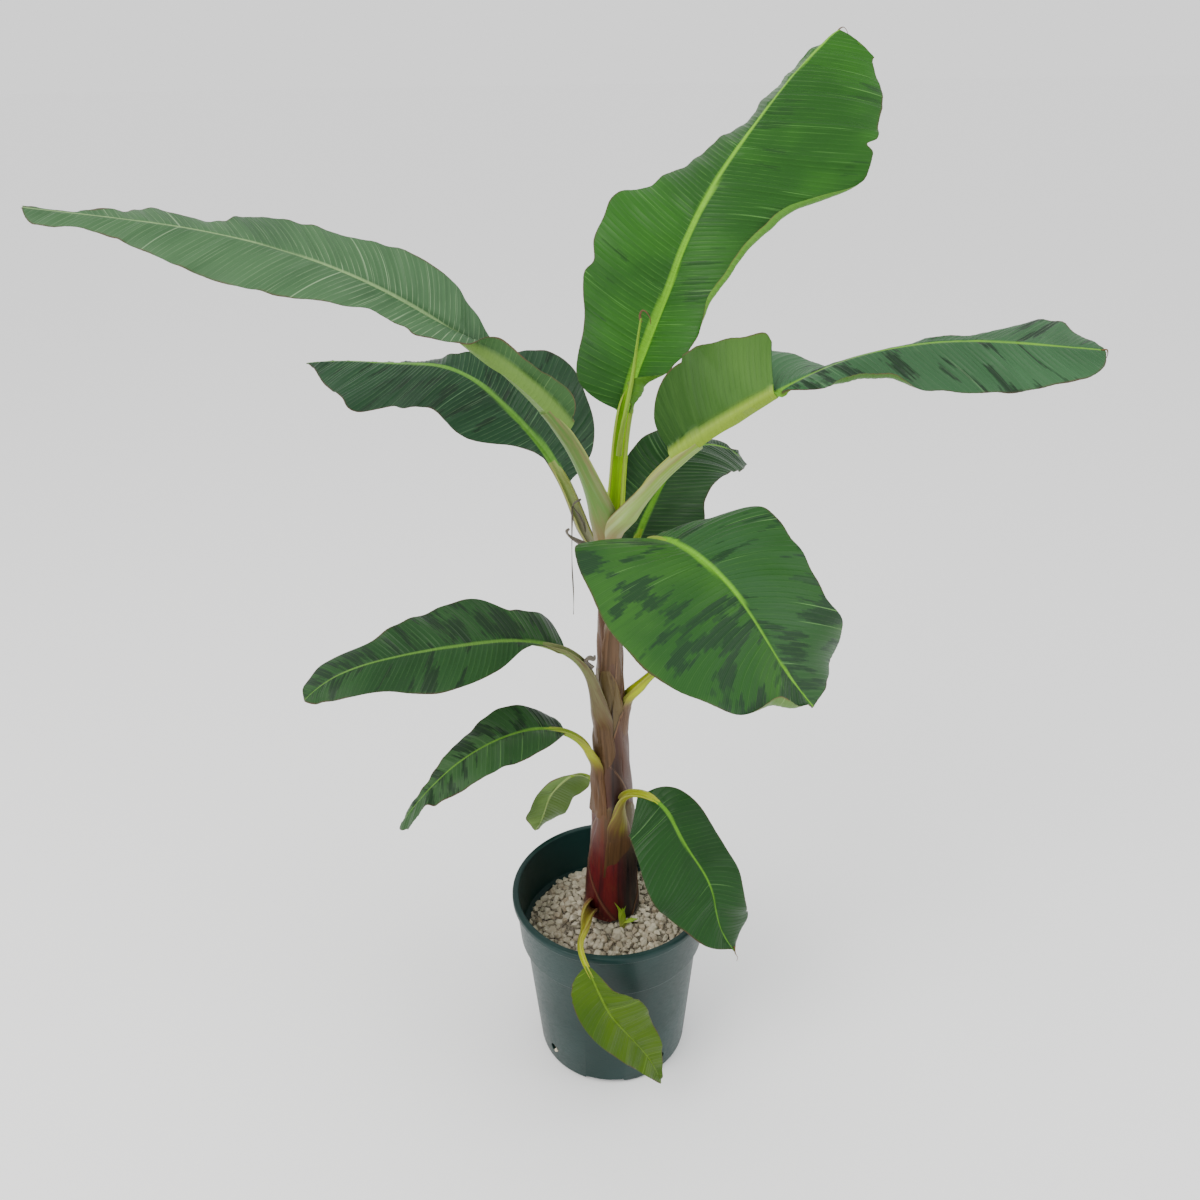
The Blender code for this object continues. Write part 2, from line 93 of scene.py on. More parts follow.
# ---------------------------------------------------------------- leaves, as the solids follow them
VEIN_BEND = 0.15                # how much veins bend forward on their way out
PLANT_FOOT = 0.1953             # height where the stem leaves the mix
STEM_X, STEM_Y = 0.001, 0.030
STEM_TOP = 0.732
STEM_RADII = (0.0320, 0.0300, 0.0275, 0.0235, 0.0210, 0.0190, 0.0180, 0.0180)


BLADE = dict(roll=(0, 0), rise_left=(12, 12), rise_right=(12, 12), curl_left=(-10, -10),
             curl_right=(-10, -10), sweep=(0.1, 0.1, 0.8), lobe=0.0, rib=(1.0, 0.55, 0.3, 0.2))


def leaf(start, length, blade_from, climb, heading, **shape):
    """One leaf: where it sets off, its length and the length of stalk before the blade, in metres.

    climb and heading are the limb's angles at even steps along it. radii are the petiole's, and left
    and right the blade's half-widths at stations that crowd towards both its ends, all in millimetres.
    roll turns the blade about its midrib; rise and curl are each half's angle at the midrib and how
    much it changes out to the margin. sweep is how far forward the veins run: at the base on the left,
    at the base on the right, and at the tip. lobe is how far the blade reaches back past the end of its
    petiole, as a share of the midrib. rib is the midrib's radius along the blade, as a share of the
    petiole's last one.
    """
    limb = dict(start=start, length=length, blade_from=blade_from, climb=climb, heading=heading)
    return {**BLADE, **limb, **shape}


LEAVES = {
    "top_leaf": leaf(
        (0.005, 0.042, 0.697), 0.664, 0.166, (84, 80, 60, 58, 44, 38, 34), (20, 60, 42, 47, 41, 41, 30),
        radii=(10, 9.5, 9), left=(0, 56, 72, 97, 63, 36, 36, 9, 0),
        right=(0, 27, 55, 63, 86, 126, 108, 76, 0), roll=(-25, -25),
        rise_left=(18, 20, 15, -21, -48, -42), rise_right=(45, 35, 16, -2, 2, -10),
        curl_left=(-15, -15, -10, 0), curl_right=(-20, -20), sweep=(0.0, 0.0, 0.6)),
    "left_long_leaf": leaf(
        (-0.002, 0.022, 0.703), 0.723, 0.176, (82, 67, 45, 35, 20, 9, 7),
        (-84, -148, -164, -167, -175, -180, -180), radii=(14, 14, 12),
        left=(0, 26, 23, 32, 52, 47, 21, 12, 0), right=(0, 4, 6, 40, 44, 33, 13, 4, 0),
        roll=(0, 10, 25, 30, 30), rise_left=(81, 87, 5, 11, 2, 8, -4),
        rise_right=(20, 30, 55, 15, -5, -10, -10), curl_left=(-20, -20, -30, -30), sweep=(0.1, 0.1, 1.0),
        rib=(1.0, 0.5, 0.2, 0.15)),
    "right_long_leaf": leaf(
        (0.007, 0.014, 0.706), 0.586, 0.150, (81, 54, 37, 32, 13, -2, -5),
        (-50, -19, -12, -14, -13, -9, -4), radii=(14, 14, 12), left=(0, 31, 57, 69, 36, 17, 49, 21, 0),
        right=(0, 50, 82, 60, 48, 61, 49, 31, 0), roll=(0, -8, -22, -28, -25),
        rise_left=(60, 83, -3, -49, -25, -10, -1),
        rise_right=(86, 82, 86, 92, 27, 0, -7, -10, -3, 0, -5, 0, 0), curl_right=(-15, -15, 0, -15, -15),
        sweep=(0.2, 0.2, 1.0)),
    "left_back_leaf": leaf(
        (-0.010, 0.045, 0.673), 0.510, 0.112, (76, 58, 38, 34, -2, -2, -10),
        (156, 132, 140, 156, 154, 159, 156), radii=(8, 8, 7), left=(0, 0, 15, 60, 56, 72, 48, 10, 0),
        right=(0, 46, 76, 82, 25, 26, 22, 10, 0), roll=(40, 45, 45, 35, 30), rise_left=(10, 10),
        rise_right=(17, 18, -9, -37, -53, -50), sweep=(0.0, 0.0, 0.8)),
    "right_back_leaf": leaf(
        (0.006, 0.036, 0.630), 0.363, 0.073, (66, 57, 40, 37, -7, -25, -45), (30, 55, 56, 50, 53, 46, 50),
        radii=(8, 7.5, 6), left=(0, 33, 54, 56, 46, 20, 4, 11, 0),
        right=(0, 44, 73, 61, 61, 54, 32, 11, 0), roll=(0, -10, -30, -40), sweep=(0.0, 0.0, 0.8)),
    "front_right_leaf": leaf(
        (0.008, 0.010, 0.607), 0.446, 0.181, (72, 67, 52, 7, -22, -43, -44),
        (-61, -77, -59, -56, -53, -50, -29), radii=(9, 8, 7), left=(0, 20, 27, 88, 85, 84, 100, 71, 0),
        right=(0, 61, 98, 116, 123, 122, 91, 19, 0), roll=(-5, -15, -8, 0), rise_left=(12, 8, 4, 4),
        rise_right=(24, 7, 8, 8), sweep=(0.0, -0.6, 0.7), lobe=0.08),
    "right_mid_leaf": leaf(
        (0.011, 0.030, 0.455), 0.303, 0.119, (82, 70, 44, 20, -5, -28, -42), (-16, -4, 4, 10, 15, 9, 3),
        radii=(7, 6.5, 5), left=(0, 22, 32, 36, 36, 32, 24, 12, 0),
        right=(0, 22, 32, 36, 36, 32, 24, 12, 0)),
    "left_mid_leaf": leaf(
        (-0.009, 0.012, 0.475), 0.452, 0.146, (81, 76, 36, 9, 1, -12, -44),
        (-99, -145, -156, -158, -161, -167, -175), radii=(8, 7.5, 5),
        left=(0, 0, 4, 38, 54, 41, 31, 14, 0), right=(0, 49, 47, 64, 56, 30, 28, 18, 0),
        roll=(20, 22, 22, 20), rise_left=(4, 10), rise_right=(4, 5), curl_left=(-25, -25)),
    "left_low_leaf": leaf(
        (-0.012, 0.020, 0.372), 0.382, 0.138, (81, 76, 41, 3, -19, -42, -60),
        (-117, -135, -153, -156, -153, -160, -188), radii=(7, 6.5, 4.5),
        left=(0, 12, 30, 40, 38, 28, 21, 14, 0), right=(0, 24, 31, 36, 26, 10, 6, 5, 0),
        roll=(15, 15, 15, 10), rise_left=(10, 10), rise_right=(10, 9), curl_left=(-20, -20)),
    "back_small_leaf": leaf(
        (-0.009, 0.050, 0.283), 0.253, 0.093, (66, 84, 25, -42, -57, -74, -58),
        (121, 79, 133, 157, 144, 151, 172), radii=(5, 4.5, 3), left=(0, 3, 2, 7, 16, 21, 23, 9, 0),
        right=(0, 16, 33, 43, 34, 33, 27, 17, 0), roll=(-50, -50, -50)),
    "right_low_leaf": leaf(
        (0.008, 0.012, 0.298), 0.372, 0.130, (67, 90, 25, -53, -48, -76, -52),
        (-62, -73, -38, -38, -36, -44, -10), radii=(7, 6.5, 5), left=(0, 3, 29, 40, 40, 41, 43, 48, 0),
        right=(0, 49, 53, 58, 71, 59, 32, 6, 0), roll=(-45, -35, -25, -20), rise_left=(5, 5),
        rise_right=(5, 5), sweep=(0.0, 0.0, 0.8)),
    "basal_leaf": leaf(
        (-0.025, 0.010, 0.208), 0.391, 0.169, (35, 19, 18, -65, -60, -63, -78),
        (-102, -92, -95, -32, 8, 13, 17), radii=(5, 4.5, 3.5), left=(0, 8, 18, 35, 36, 26, 12, 4, 0),
        right=(0, 20, 32, 34, 30, 23, 14, 5, 0), roll=(-65, -65), sweep=(0.15, 0.15, 0.8),
        rib=(0.6, 0.5, 0.3, 0.2)),
}

SPEAR = dict(start=(0.015, 0.043, 0.818), length=0.150, climb=(78, 79, 78, 83, 80),
             heading=(-75, -18, 12, 8, 16))


# ---------------------------------------------------------------- curves and surfaces
SIDE = {"left": -1, "right": 1}


def full_circle(sides):
    return np.arange(sides) * 2 * math.pi / sides


def upright(radius, turn, height, x=0, y=0):
    """Points at a distance and heading from an upright axis."""
    return np.stack(np.broadcast_arrays(x + radius * np.cos(turn), y + radius * np.sin(turn), height), -1)


def unit(vector):
    return vector / np.linalg.norm(vector, axis=-1, keepdims=True)


def smooth(x, low, high):
    """Smooth step from 0 at low to 1 at high."""
    x = np.clip((np.asarray(x, float) - low) / (high - low), 0, 1)
    return x * x * (3 - 2 * x)


def between(x, low, full, fading, gone):
    """1 from full to fading, and 0 below low and above gone."""
    return smooth(x, low, full) * (1 - smooth(x, fading, gone))


def bell(x, middle, spread):
    return np.exp(-((x - middle) / spread) ** 2)


def waves(x, seed, count, longest, shortest):
    """Sum of seeded sines of x, about 1 high, between two wavelengths."""
    draw = random.Random(seed)
    total = 0
    for _ in range(count):
        length = shortest + (longest - shortest) * draw.random()
        total = total + (0.6 + 0.4 * draw.random()) * np.sin(2 * math.pi * (x / length + draw.random()))
    return total / math.sqrt(count)


def profile(values, t, crowded=False):
    """Smooth value at t (0 to 1) through values at even stations, or at ones that crowd to both ends."""
    values = np.asarray(values, float)
    last = len(values) - 1
    x = (np.arccos(np.clip(1 - 2 * t, -1, 1)) / math.pi if crowded else np.clip(t, 0, 1)) * last
    i = np.clip(x.astype(int), 0, last - 1)
    f = x - i
    a, b, c, d = (values[np.clip(i + k, 0, last)] for k in (-1, 0, 1, 2))
    return b + 0.5 * f * (c - a + f * (2 * a - 5 * b + 4 * c - d + f * (3 * (b - c) + d - a)))


def limb_path(spec, steps=161):
    """Even points along a limb that follows its climb and heading angles."""
    along = np.linspace(0, 1, steps)
    climb = np.radians(profile(spec["climb"], along))
    heading = np.radians(profile(spec["heading"], along))
    level = np.cos(climb)
    tangent = np.stack([level * np.cos(heading), level * np.sin(heading), np.sin(climb)], -1)
    step = (tangent[1:] + tangent[:-1]) / 2 * spec["length"] / (steps - 1)
    return np.array(spec["start"]) + np.concatenate([np.zeros((1, 3)), np.cumsum(step, axis=0)])


def sample(points, at, places=None):
    """Points at places along a list of points, which lie at whole numbers unless other places are given."""
    places = np.arange(len(points)) if places is None else places
    return np.stack([np.interp(at, places, points[:, k]) for k in range(3)], -1)


def cut_path(path, start, end, steps):
    """Even points of the stretch of a path between two shares of its length."""
    return sample(path, np.linspace(start, end, steps) * (len(path) - 1))


def frames(path, roll):
    """Tangent, upper side and right side along a path, rolled about it by angles in radians."""
    tangent = unit(np.gradient(path, axis=0))
    up = unit(np.array([0, 0, 1.0]) - tangent * tangent[:, 2:3])
    side = np.cross(tangent, up)
    c, s = np.cos(roll)[:, None], np.sin(roll)[:, None]
    return tangent, up * c - side * s, side * c + up * s


class BladeSurface:
    """The sheet of one leaf blade, read by share of the midrib and distance out from it."""

    def __init__(self, spec, steps=121):
        self.spec = spec
        self.path = cut_path(limb_path(spec), spec["blade_from"] / spec["length"], 1, steps)
        self.length = spec["length"] - spec["blade_from"]
        along = np.linspace(0, 1, steps)
        self.tangent, self.up, self.side = frames(self.path, np.radians(profile(spec["roll"], along)))

    def widest(self, half):
        return max(self.spec[half]) / 1000

    def width(self, t, half):
        lobe = self.spec["lobe"]
        share = (t + lobe) / (1 + lobe)
        return profile(self.spec[half], np.clip(share, 0, 1), True) / 1000 * ((share >= 0) & (share <= 1))

    def run(self, start, out, half):
        """Share of the midrib that veins from the given starts have reached at a distance out."""
        base_left, base_right, tip = self.spec["sweep"]
        base = base_left if half == "left" else base_right
        bend = VEIN_BEND * out * out / self.widest(half) * np.minimum(start * 10, 1)
        return start + ((base + (tip - base) * start) * out + bend) / self.length

    def point(self, t, out, half, pose=None):
        """Point at share t of the midrib, a distance out on one half that is posed as at share pose."""
        pose = np.clip(t if pose is None else pose, 0, 1)
        at = np.clip(t, 0, 1) * (len(self.path) - 1)
        centre, up, side = (sample(field, at) for field in (self.path, self.up, self.side))
        centre = centre + self.tangent[0] * np.minimum(t, 0)[..., None] * self.length
        width = np.maximum(self.width(np.clip(t, 0, 1), half), 0.5 * self.widest(half))
        rise = np.radians(profile(self.spec["rise_" + half], pose))
        curl = np.radians(profile(self.spec["curl_" + half], pose)) / width
        curl = np.where(np.abs(curl) < 1e-3, 1e-3, curl)
        turned = rise + curl * out
        across = (np.sin(turned) - np.sin(rise)) / curl
        lift = (np.cos(rise) - np.cos(turned)) / curl
        return centre + SIDE[half] * side * across[..., None] + up * lift[..., None]


# ---------------------------------------------------------------- materials
VEIN_STEP = 0.0056              # from one pleat to the next along the midrib
LEAF_SPECULAR = 0.16
STALK_ROUGHNESS = 0.42
DRIED_RIM = (0.11, 0.055, 0.025)


class Graph:
    """A Principled material with short calls for the nodes that feed it."""

    def __init__(self, name, roughness, specular):
        self.material = bpy.data.materials.new(name)
        self.material.use_nodes = True
        self.tree = self.material.node_tree
        self.shader = self.tree.nodes["Principled BSDF"]
        self.shader.inputs["Roughness"].default_value = roughness
        self.shader.inputs["Specular IOR Level"].default_value = specular

    def feed(self, socket, value):
        if isinstance(value, bpy.types.NodeSocket):
            self.tree.links.new(value, socket)
        elif isinstance(value, tuple) and len(value) == 3 and socket.type == "RGBA":
            socket.default_value = (*value, 1)
        else:
            socket.default_value = value

    def node(self, kind, inputs=(), **settings):
        made = self.tree.nodes.new("ShaderNode" + kind)
        for key, value in settings.items():
            setattr(made, key, value)
        for key, value in dict(inputs).items():
            self.feed(made.inputs[key], value)
        return made

    def maths(self, operation, *values):
        return self.node("Math", dict(enumerate(values)), operation=operation).outputs[0]

    def times(self, a, b):
        return self.maths("MULTIPLY", a, b)

    def step(self, value, low, high, out_low=0.0, out_high=1.0):
        """Smooth step of a value from low to high."""
        inputs = {"Value": value, "From Min": low, "From Max": high, "To Min": out_low, "To Max": out_high}
        return self.node("MapRange", inputs, interpolation_type="SMOOTHSTEP").outputs[0]

    def field(self, name):
        return self.node("Attribute", attribute_name=name).outputs["Fac"]

    def mix(self, share, a, b):
        made = self.node("Mix", data_type="RGBA")
        for socket, value in zip((made.inputs[0], made.inputs[6], made.inputs[7]), (share, a, b)):
            self.feed(socket, value)
        return made.outputs[2]

    def lay(self, colour, over, value, low, high, least=0.0, most=1.0):
        """A colour that another covers more, as a value goes from low to high."""
        return self.mix(self.step(value, low, high, least, most), colour, over)

    def mark(self, colour, over, field, share):
        """A colour that another covers where one of the mesh's fields says so."""
        return self.mix(self.times(self.field(field), share), colour, over)

    def spot(self):
        return self.node("TexCoord").outputs["Object"]

    def vein_map(self, *shift):
        """The map that runs with the veins or fibres, as it is and shifted."""
        flat = self.node("UVMap", uv_map="vein").outputs[0]
        return flat, self.stretch(flat, (1, 1, 1), shift)

    def stretch(self, vector, scale, shift=(0, 0, 0)):
        return self.node("Mapping", {"Vector": vector, "Scale": scale, "Location": shift}).outputs[0]

    def noise(self, vector, scale, detail, roughness=0.5):
        inputs = {"Vector": vector, "Scale": scale, "Detail": detail, "Roughness": roughness}
        return self.node("TexNoise", inputs).outputs["Fac"]

    def grain(self, vector, fine_u, fine_v, detail, roughness=0.5, shift=(0, 0, 0)):
        """Noise that is finer one way than the other."""
        return self.noise(self.stretch(vector, (fine_u, fine_v, 1), shift), 1.0, detail, roughness)

    def bump(self, height, distance, strength=1.0):
        inputs = {"Height": height, "Distance": distance, "Strength": strength}
        return self.node("Bump", inputs).outputs[0]

    def finish(self, colour, roughness=None, normal=None):
        for key, value in (("Base Color", colour), ("Roughness", roughness), ("Normal", normal)):
            if value is not None:
                self.feed(self.shader.inputs[key], value)
        return self.material


def blade_material(name, seed, green, dark, vein, rib, edge, blotch, blotch_colour, lines, roughness,
                   far=None, base=None, base_lines=0.0, scratches=0.35, patch=(75, 19)):
    """Lamina in vein coordinates: u runs along the midrib and v out from it, in metres.

    far is the left half's green, darker and greyer as painted shade and sheen; base the colour its foot
    starts from and how far that reaches, and base_lines how much stronger the ribs are there. patch is how
    fine the blotches are.
    """
    g = Graph(name, roughness, LEAF_SPECULAR)
    flat, at = g.vein_map(seed, seed * 0.7, seed * 1.3)
    u, v, _ = g.node("SeparateXYZ", {0: flat}).outputs
    out = g.maths("ABSOLUTE", v)
    broad = g.grain(at, 13, 9, 3)
    streak = g.grain(at, 330, 13, 3, 0.6)
    # Painted shade and sheen: the left half (v below 0) takes the darker, greyer far green.
    if far:
        green = g.lay(far, green, v, -0.003, 0.003)
    colour = g.lay(green, dark, broad, 0.38, 0.62)
    if base:
        colour = g.lay(base[0], colour, u, 0.0, base[1])
    colour = g.lay(colour, dark, streak, 0.4, 0.75, 0, 0.45)
    if blotch:
        # Blotches end along the veins: each fine vein is set off from its neighbours by its own shift.
        stripe = g.maths("SNAP", u, VEIN_STEP / 3)
        shift = g.node("TexWhiteNoise", {"W": stripe}, noise_dimensions="1D").outputs["Value"]
        along = g.maths("ADD", v, g.times(shift, 0.012))
        spot = g.node("CombineXYZ", {0: stripe, 1: along}).outputs[0]
        ragged = g.grain(spot, *patch, 2, 0.55, (seed * 3, seed, 0))
        level = g.maths("ADD", ragged, g.times(g.grain(at, 9, 7, 1), 0.4))
        for rim, most in ((0.87, 0.55), (0.90, 0.75)):
            colour = g.lay(colour, blotch_colour, level, rim - blotch, rim + 0.01 - blotch, 0, most)
    ridge, fine = (g.maths("PINGPONG", g.maths("DIVIDE", u, width), 0.5)
                   for width in (VEIN_STEP, VEIN_STEP / 5))
    inner = g.step(out, 0.01, 0.075, 1.0, 0.35)
    line = g.times(g.step(ridge, 0.0, 0.10, 1, 0), g.step(g.noise(at, 60, 2), 0.35, 0.65, 0.2, 1))
    strength = lines
    if base_lines:
        near = g.times(g.step(u, 0.10, 0.42, base_lines, 0), g.step(v, -0.002, 0.02, 1, 0.15))
        strength = g.maths("ADD", lines, near)
    colour = g.mix(g.times(g.times(line, inner), strength), colour, vein)
    colour = g.lay(colour, vein, fine, 0.0, 0.3, 0.10, 0)
    pale = tuple(1.6 * x + 0.03 for x in vein)
    colour = g.lay(colour, pale, g.grain(at, 500, 6, 2), 0.68, 0.73, 0, scratches)
    colour = g.mark(colour, edge, "edge", g.step(g.noise(at, 35, 3), 0.35, 0.65, 0.15, 1))
    colour = g.mark(colour, rib, "rib", g.step(streak, 0.3, 0.8, 1.0, 0.82))
    height = g.maths("ADD", g.step(ridge, 0, 0.22, 1, 0), g.times(g.step(fine, 0, 0.5, 1, 0), 0.35))
    rough = g.step(streak, 0.2, 0.8, roughness - 0.06, roughness + 0.10)
    return g.finish(colour, rough, g.bump(height, 0.0003, 0.7))


def stalk_material(name, seed, foot, mid, top, edge, streak, streak_amount, dry=None, light=None):
    """Petiole: three colours along it, its rims, and streaks that run with its fibres.

    dry is the stretch, as shares of its length, over which its rims have dried up, and light the colour
    of its paler streaks.
    """
    g = Graph(name, STALK_ROUGHNESS, LEAF_SPECULAR)
    at = g.vein_map(seed, seed * 0.7, seed * 1.3)[1]
    along = g.field("along")
    colour = g.lay(g.lay(foot, mid, along, 0.10, 0.48), top, along, 0.5, 1.0)
    fibre = g.grain(at, 10, 700, 3, 0.6)
    patch = g.grain(at, 24, 110, 4, 0.62)
    colour = g.lay(colour, light or top, g.grain(at, 7, 260, 2), 0.45, 0.70, 0, 0.55 if light else 0.3)
    colour = g.lay(colour, streak, fibre, 0.45, 0.75, 0, 0.3)
    colour = g.mix(g.times(g.step(patch, 0.48, 0.66), streak_amount), colour, streak)
    colour = g.mark(colour, streak, "band", g.step(patch, 0.3, 0.6, 0.1, 0.7))
    if dry:
        inside = g.times(g.step(along, dry[0], dry[0] + 0.1), g.step(along, dry[1] - 0.1, dry[1], 1, 0))
        edge = g.mix(inside, edge, DRIED_RIM)
    colour = g.mark(colour, edge, "edge", g.step(patch, 0.2, 0.5, 0.6, 1))
    bare = g.lay(foot, tuple(0.55 * x for x in foot), fibre, 0.35, 0.7)
    colour = g.lay(bare, colour, along, 0.02, 0.24)
    rough = g.step(fibre, 0.3, 0.7, STALK_ROUGHNESS - 0.06, STALK_ROUGHNESS + 0.08)
    return g.finish(colour, rough, g.bump(fibre, 0.0004, 0.7))


# ---------------------------------------------------------------- pieces
def piece(name, points, faces, materials, replaces=(), index=None, uv=None, fields=None, sharp=50):
    """A piece that rides on the root, with values per point for its UV map and fields."""
    mesh = bpy.data.meshes.new(name)
    mesh.from_pydata(np.asarray(points, float).reshape(-1, 3).tolist(), [], faces)
    for entry in materials:
        mesh.materials.append(entry)
    if index is not None:
        mesh.polygons.foreach_set("material_index", np.asarray(index, np.int32))
    if uv is not None:
        corners = np.empty(len(mesh.loops), np.int32)
        mesh.loops.foreach_get("vertex_index", corners)
        layer = mesh.uv_layers.new(name="vein")
        layer.data.foreach_set("uv", np.asarray(uv, np.float32).reshape(-1, 2)[corners].ravel())
    for key, values in (fields or {}).items():
        made = mesh.attributes.new(key, "FLOAT", "POINT")
        made.data.foreach_set("value", np.asarray(values, np.float32).ravel())
    mesh.update()
    mesh.shade_smooth()
    mesh.set_sharp_from_angle(angle=math.radians(sharp))
    made = placed(name, mesh)
    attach(made, "root")
    if replaces:
        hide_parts(*replaces)
    return made


def loop_faces(rings, sides):
    """Faces of a tube of rings, with flat caps on its ends."""
    r, k = np.meshgrid(np.arange(rings - 1), np.arange(sides), indexing="ij")
    near, far = r * sides + k, r * sides + (k + 1) % sides
    faces = np.stack([near, far, far + sides, near + sides], -1).reshape(-1, 4).tolist()
    faces.append(list(range(sides))[::-1])
    faces.append([(rings - 1) * sides + k for k in range(sides)])
    return faces


def vein_uv(u, v):
    return np.stack(np.broadcast_arrays(u, v), -1).reshape(-1, 2)


# ---------------------------------------------------------------- the stem's shape
STEM_LEAN = (0.000, 0.002, 0.003, 0.002, 0.001, 0.001, 0.002, 0.003)
STEM_RINGS = 260
STEM_AROUND = 160
SHEATH_EDGE = 0.0010            # how far in from its margin a sheath is at its full height
SHEATH_LINE = 0.0007            # half the width of the lines along that margin
SHEATH_STEP = 0.0011            # how far each sheath's edge stands off the one under it
# The leaf each sheath belongs to, the height its edges close at, how far down it clasps the whole stem,
# and how olive and how dark it is.
SHEATHS = (
    ("basal_leaf", 0.205, 0.05, 0.1, 0.1), ("back_small_leaf", 0.30, 0.13, 0.3, 0.2),
    ("right_low_leaf", 0.375, 0.26, 0.95, 0.0), ("left_low_leaf", 0.445, 0.24, 0.2, 0.1),
    ("right_mid_leaf", 0.515, 0.26, 0.05, 0.2), ("left_mid_leaf", 0.565, 0.28, 0.75, 0.0),
    ("right_back_leaf", 0.66, 0.24, 0.3, 0.2), ("front_right_leaf", 0.67, 0.26, 0.2, 0.0),
    ("left_back_leaf", 0.70, 0.22, 0.5, 0.2),
)


def stem_radius(height):
    return profile(STEM_RADII, np.clip((height - PLANT_FOOT) / (STEM_TOP - PLANT_FOOT), 0, 1))


def stem_sheaths(height, turn):
    """How far the sheaths build the stem up at each height and heading, with their colours and edges."""
    marks = {key: 0 * height + 0 * turn for key in ("layers", "olive", "black", "edge", "seam")}
    for number, (name, top, wrap, greenish, darkness) in enumerate(reversed(SHEATHS)):
        start = LEAVES[name]["start"]
        heading = math.atan2(start[1] - STEM_Y, start[0] - STEM_X)
        away = (turn - heading + math.pi) % (2 * math.pi) - math.pi
        below = np.clip(top - height, 0, 1)
        # The margins part fast below the petiole, then run down nearly upright till they meet behind.
        reach = np.radians(20 + 70 * (1 - np.exp(-below / 0.022)) + 95 * np.clip(below / wrap, 0, 1) ** 1.5)
        reach = reach + np.radians(5) * np.sin(height * 40 + number)
        inside = (reach - np.abs(away)) * 0.025
        cover = smooth(inside, 0, SHEATH_EDGE) * smooth(top - height, 0, 0.004)
        seen = smooth(top - height, 0, 0.01) * (below < wrap)
        marks["layers"] = marks["layers"] + cover * SHEATH_STEP
        for key, middle in (("edge", SHEATH_EDGE), ("seam", -SHEATH_LINE)):
            marks[key] = np.maximum(marks[key] * (1 - cover), bell(inside, middle, SHEATH_LINE) * seen)
        for key, value in (("olive", greenish), ("black", darkness)):
            marks[key] = marks[key] * (1 - cover) + cover * value
    return marks


def stem_surface(height, turn):
    """Distance of the stem's surface from its axis."""
    layers = stem_sheaths(height, turn)["layers"] - 0.6 * SHEATH_STEP * len(SHEATHS)
    radius = stem_radius(height) + layers + 0.0005 * np.sin(7 * turn + 5 * height * 20)
    return radius * (1 + 0.04 * bell(height, PLANT_FOOT, 0.03))


# ---------------------------------------------------------------- fine leaves
ROWS_PER_VEIN = 4
INNER_COLUMNS = 17
HEM_COLUMNS = 8
HEM_FROM = 0.84                 # share of each half's width where the closer columns of its margin start
LAMINA = 0.0009                 # thickness of the lamina
RIB_GROOVE = 0.35               # depth of the groove over the midrib, as a share of its radius
DRY_EDGE = 0.0016               # width of a margin's dry rim
BOX_EASE, BOX_CLEAR = 0.012, 0.0012     # how softly and how far points keep from the solids' box
STALK_RINGS = 60
STALK_SIDES = 44
STALK_INTO = 0.030              # how far a petiole runs on under its blade
STALK_BACK = 0.72               # share of a petiole's section, by points, that is its round back
CHANNEL_HALF = 42.0             # degrees, half the opening of a petiole's channel
SHEATH_LENGTH = 0.060           # how far below its petiole a sheath can be told from the stem
SHEATH_RINGS = 20
SHEATH_BLEND = 0.040            # length over which a sheath turns into its petiole
HUG_SUNK, HUG_PROUD = 0.0016, 0.0026    # how far in, and then out, a crown stalk's foot lies on the stem
HUG_HEIGHT = 0.058              # how far up it is drawn in

UPPER = dict(green=(0.024, 0.105, 0.016), dark=(0.012, 0.066, 0.012), vein=(0.08, 0.2, 0.04),
             rib=(0.13, 0.33, 0.02), edge=(0.07, 0.035, 0.02), blotch=0.0,
             blotch_colour=(0.005, 0.018, 0.008), lines=0.35, roughness=0.38)
UNDER = dict(green=(0.085, 0.18, 0.05), dark=(0.062, 0.145, 0.04), vein=(0.14, 0.25, 0.08),
             rib=(0.22, 0.34, 0.05), edge=(0.11, 0.055, 0.03), blotch=0.0, blotch_colour=(0.03, 0.06, 0.03),
             lines=0.4, roughness=0.46)
STALK = dict(foot=(0.13, 0.085, 0.028), mid=(0.22, 0.3, 0.03), top=(0.2, 0.34, 0.02),
             edge=(0.26, 0.27, 0.06), streak=(0.15, 0.1, 0.04), streak_amount=0.25)
# A lamina's waves, pleats and ruffle (height, end, length, half) and how wide its midrib shows from above,
# all in metres or shares; margins that draw in (half, middle, spread, share), tears and rolls; and the
# petiole's opening, its clasp (width, reach, depth) and sheath, and whether its foot hugs the stem.
LOOK = dict(wave=0.004, pleat=0.0006, ruffle=(0, 0, 0.07, 1), upper_rib=0.8, margin=(), tears=(), rolls=(),
            opening=CHANNEL_HALF, clasp=(1.5, 0.5, 1.0), sheath=SHEATH_LENGTH, hugs=False, upper={}, under={},
            stalk={})

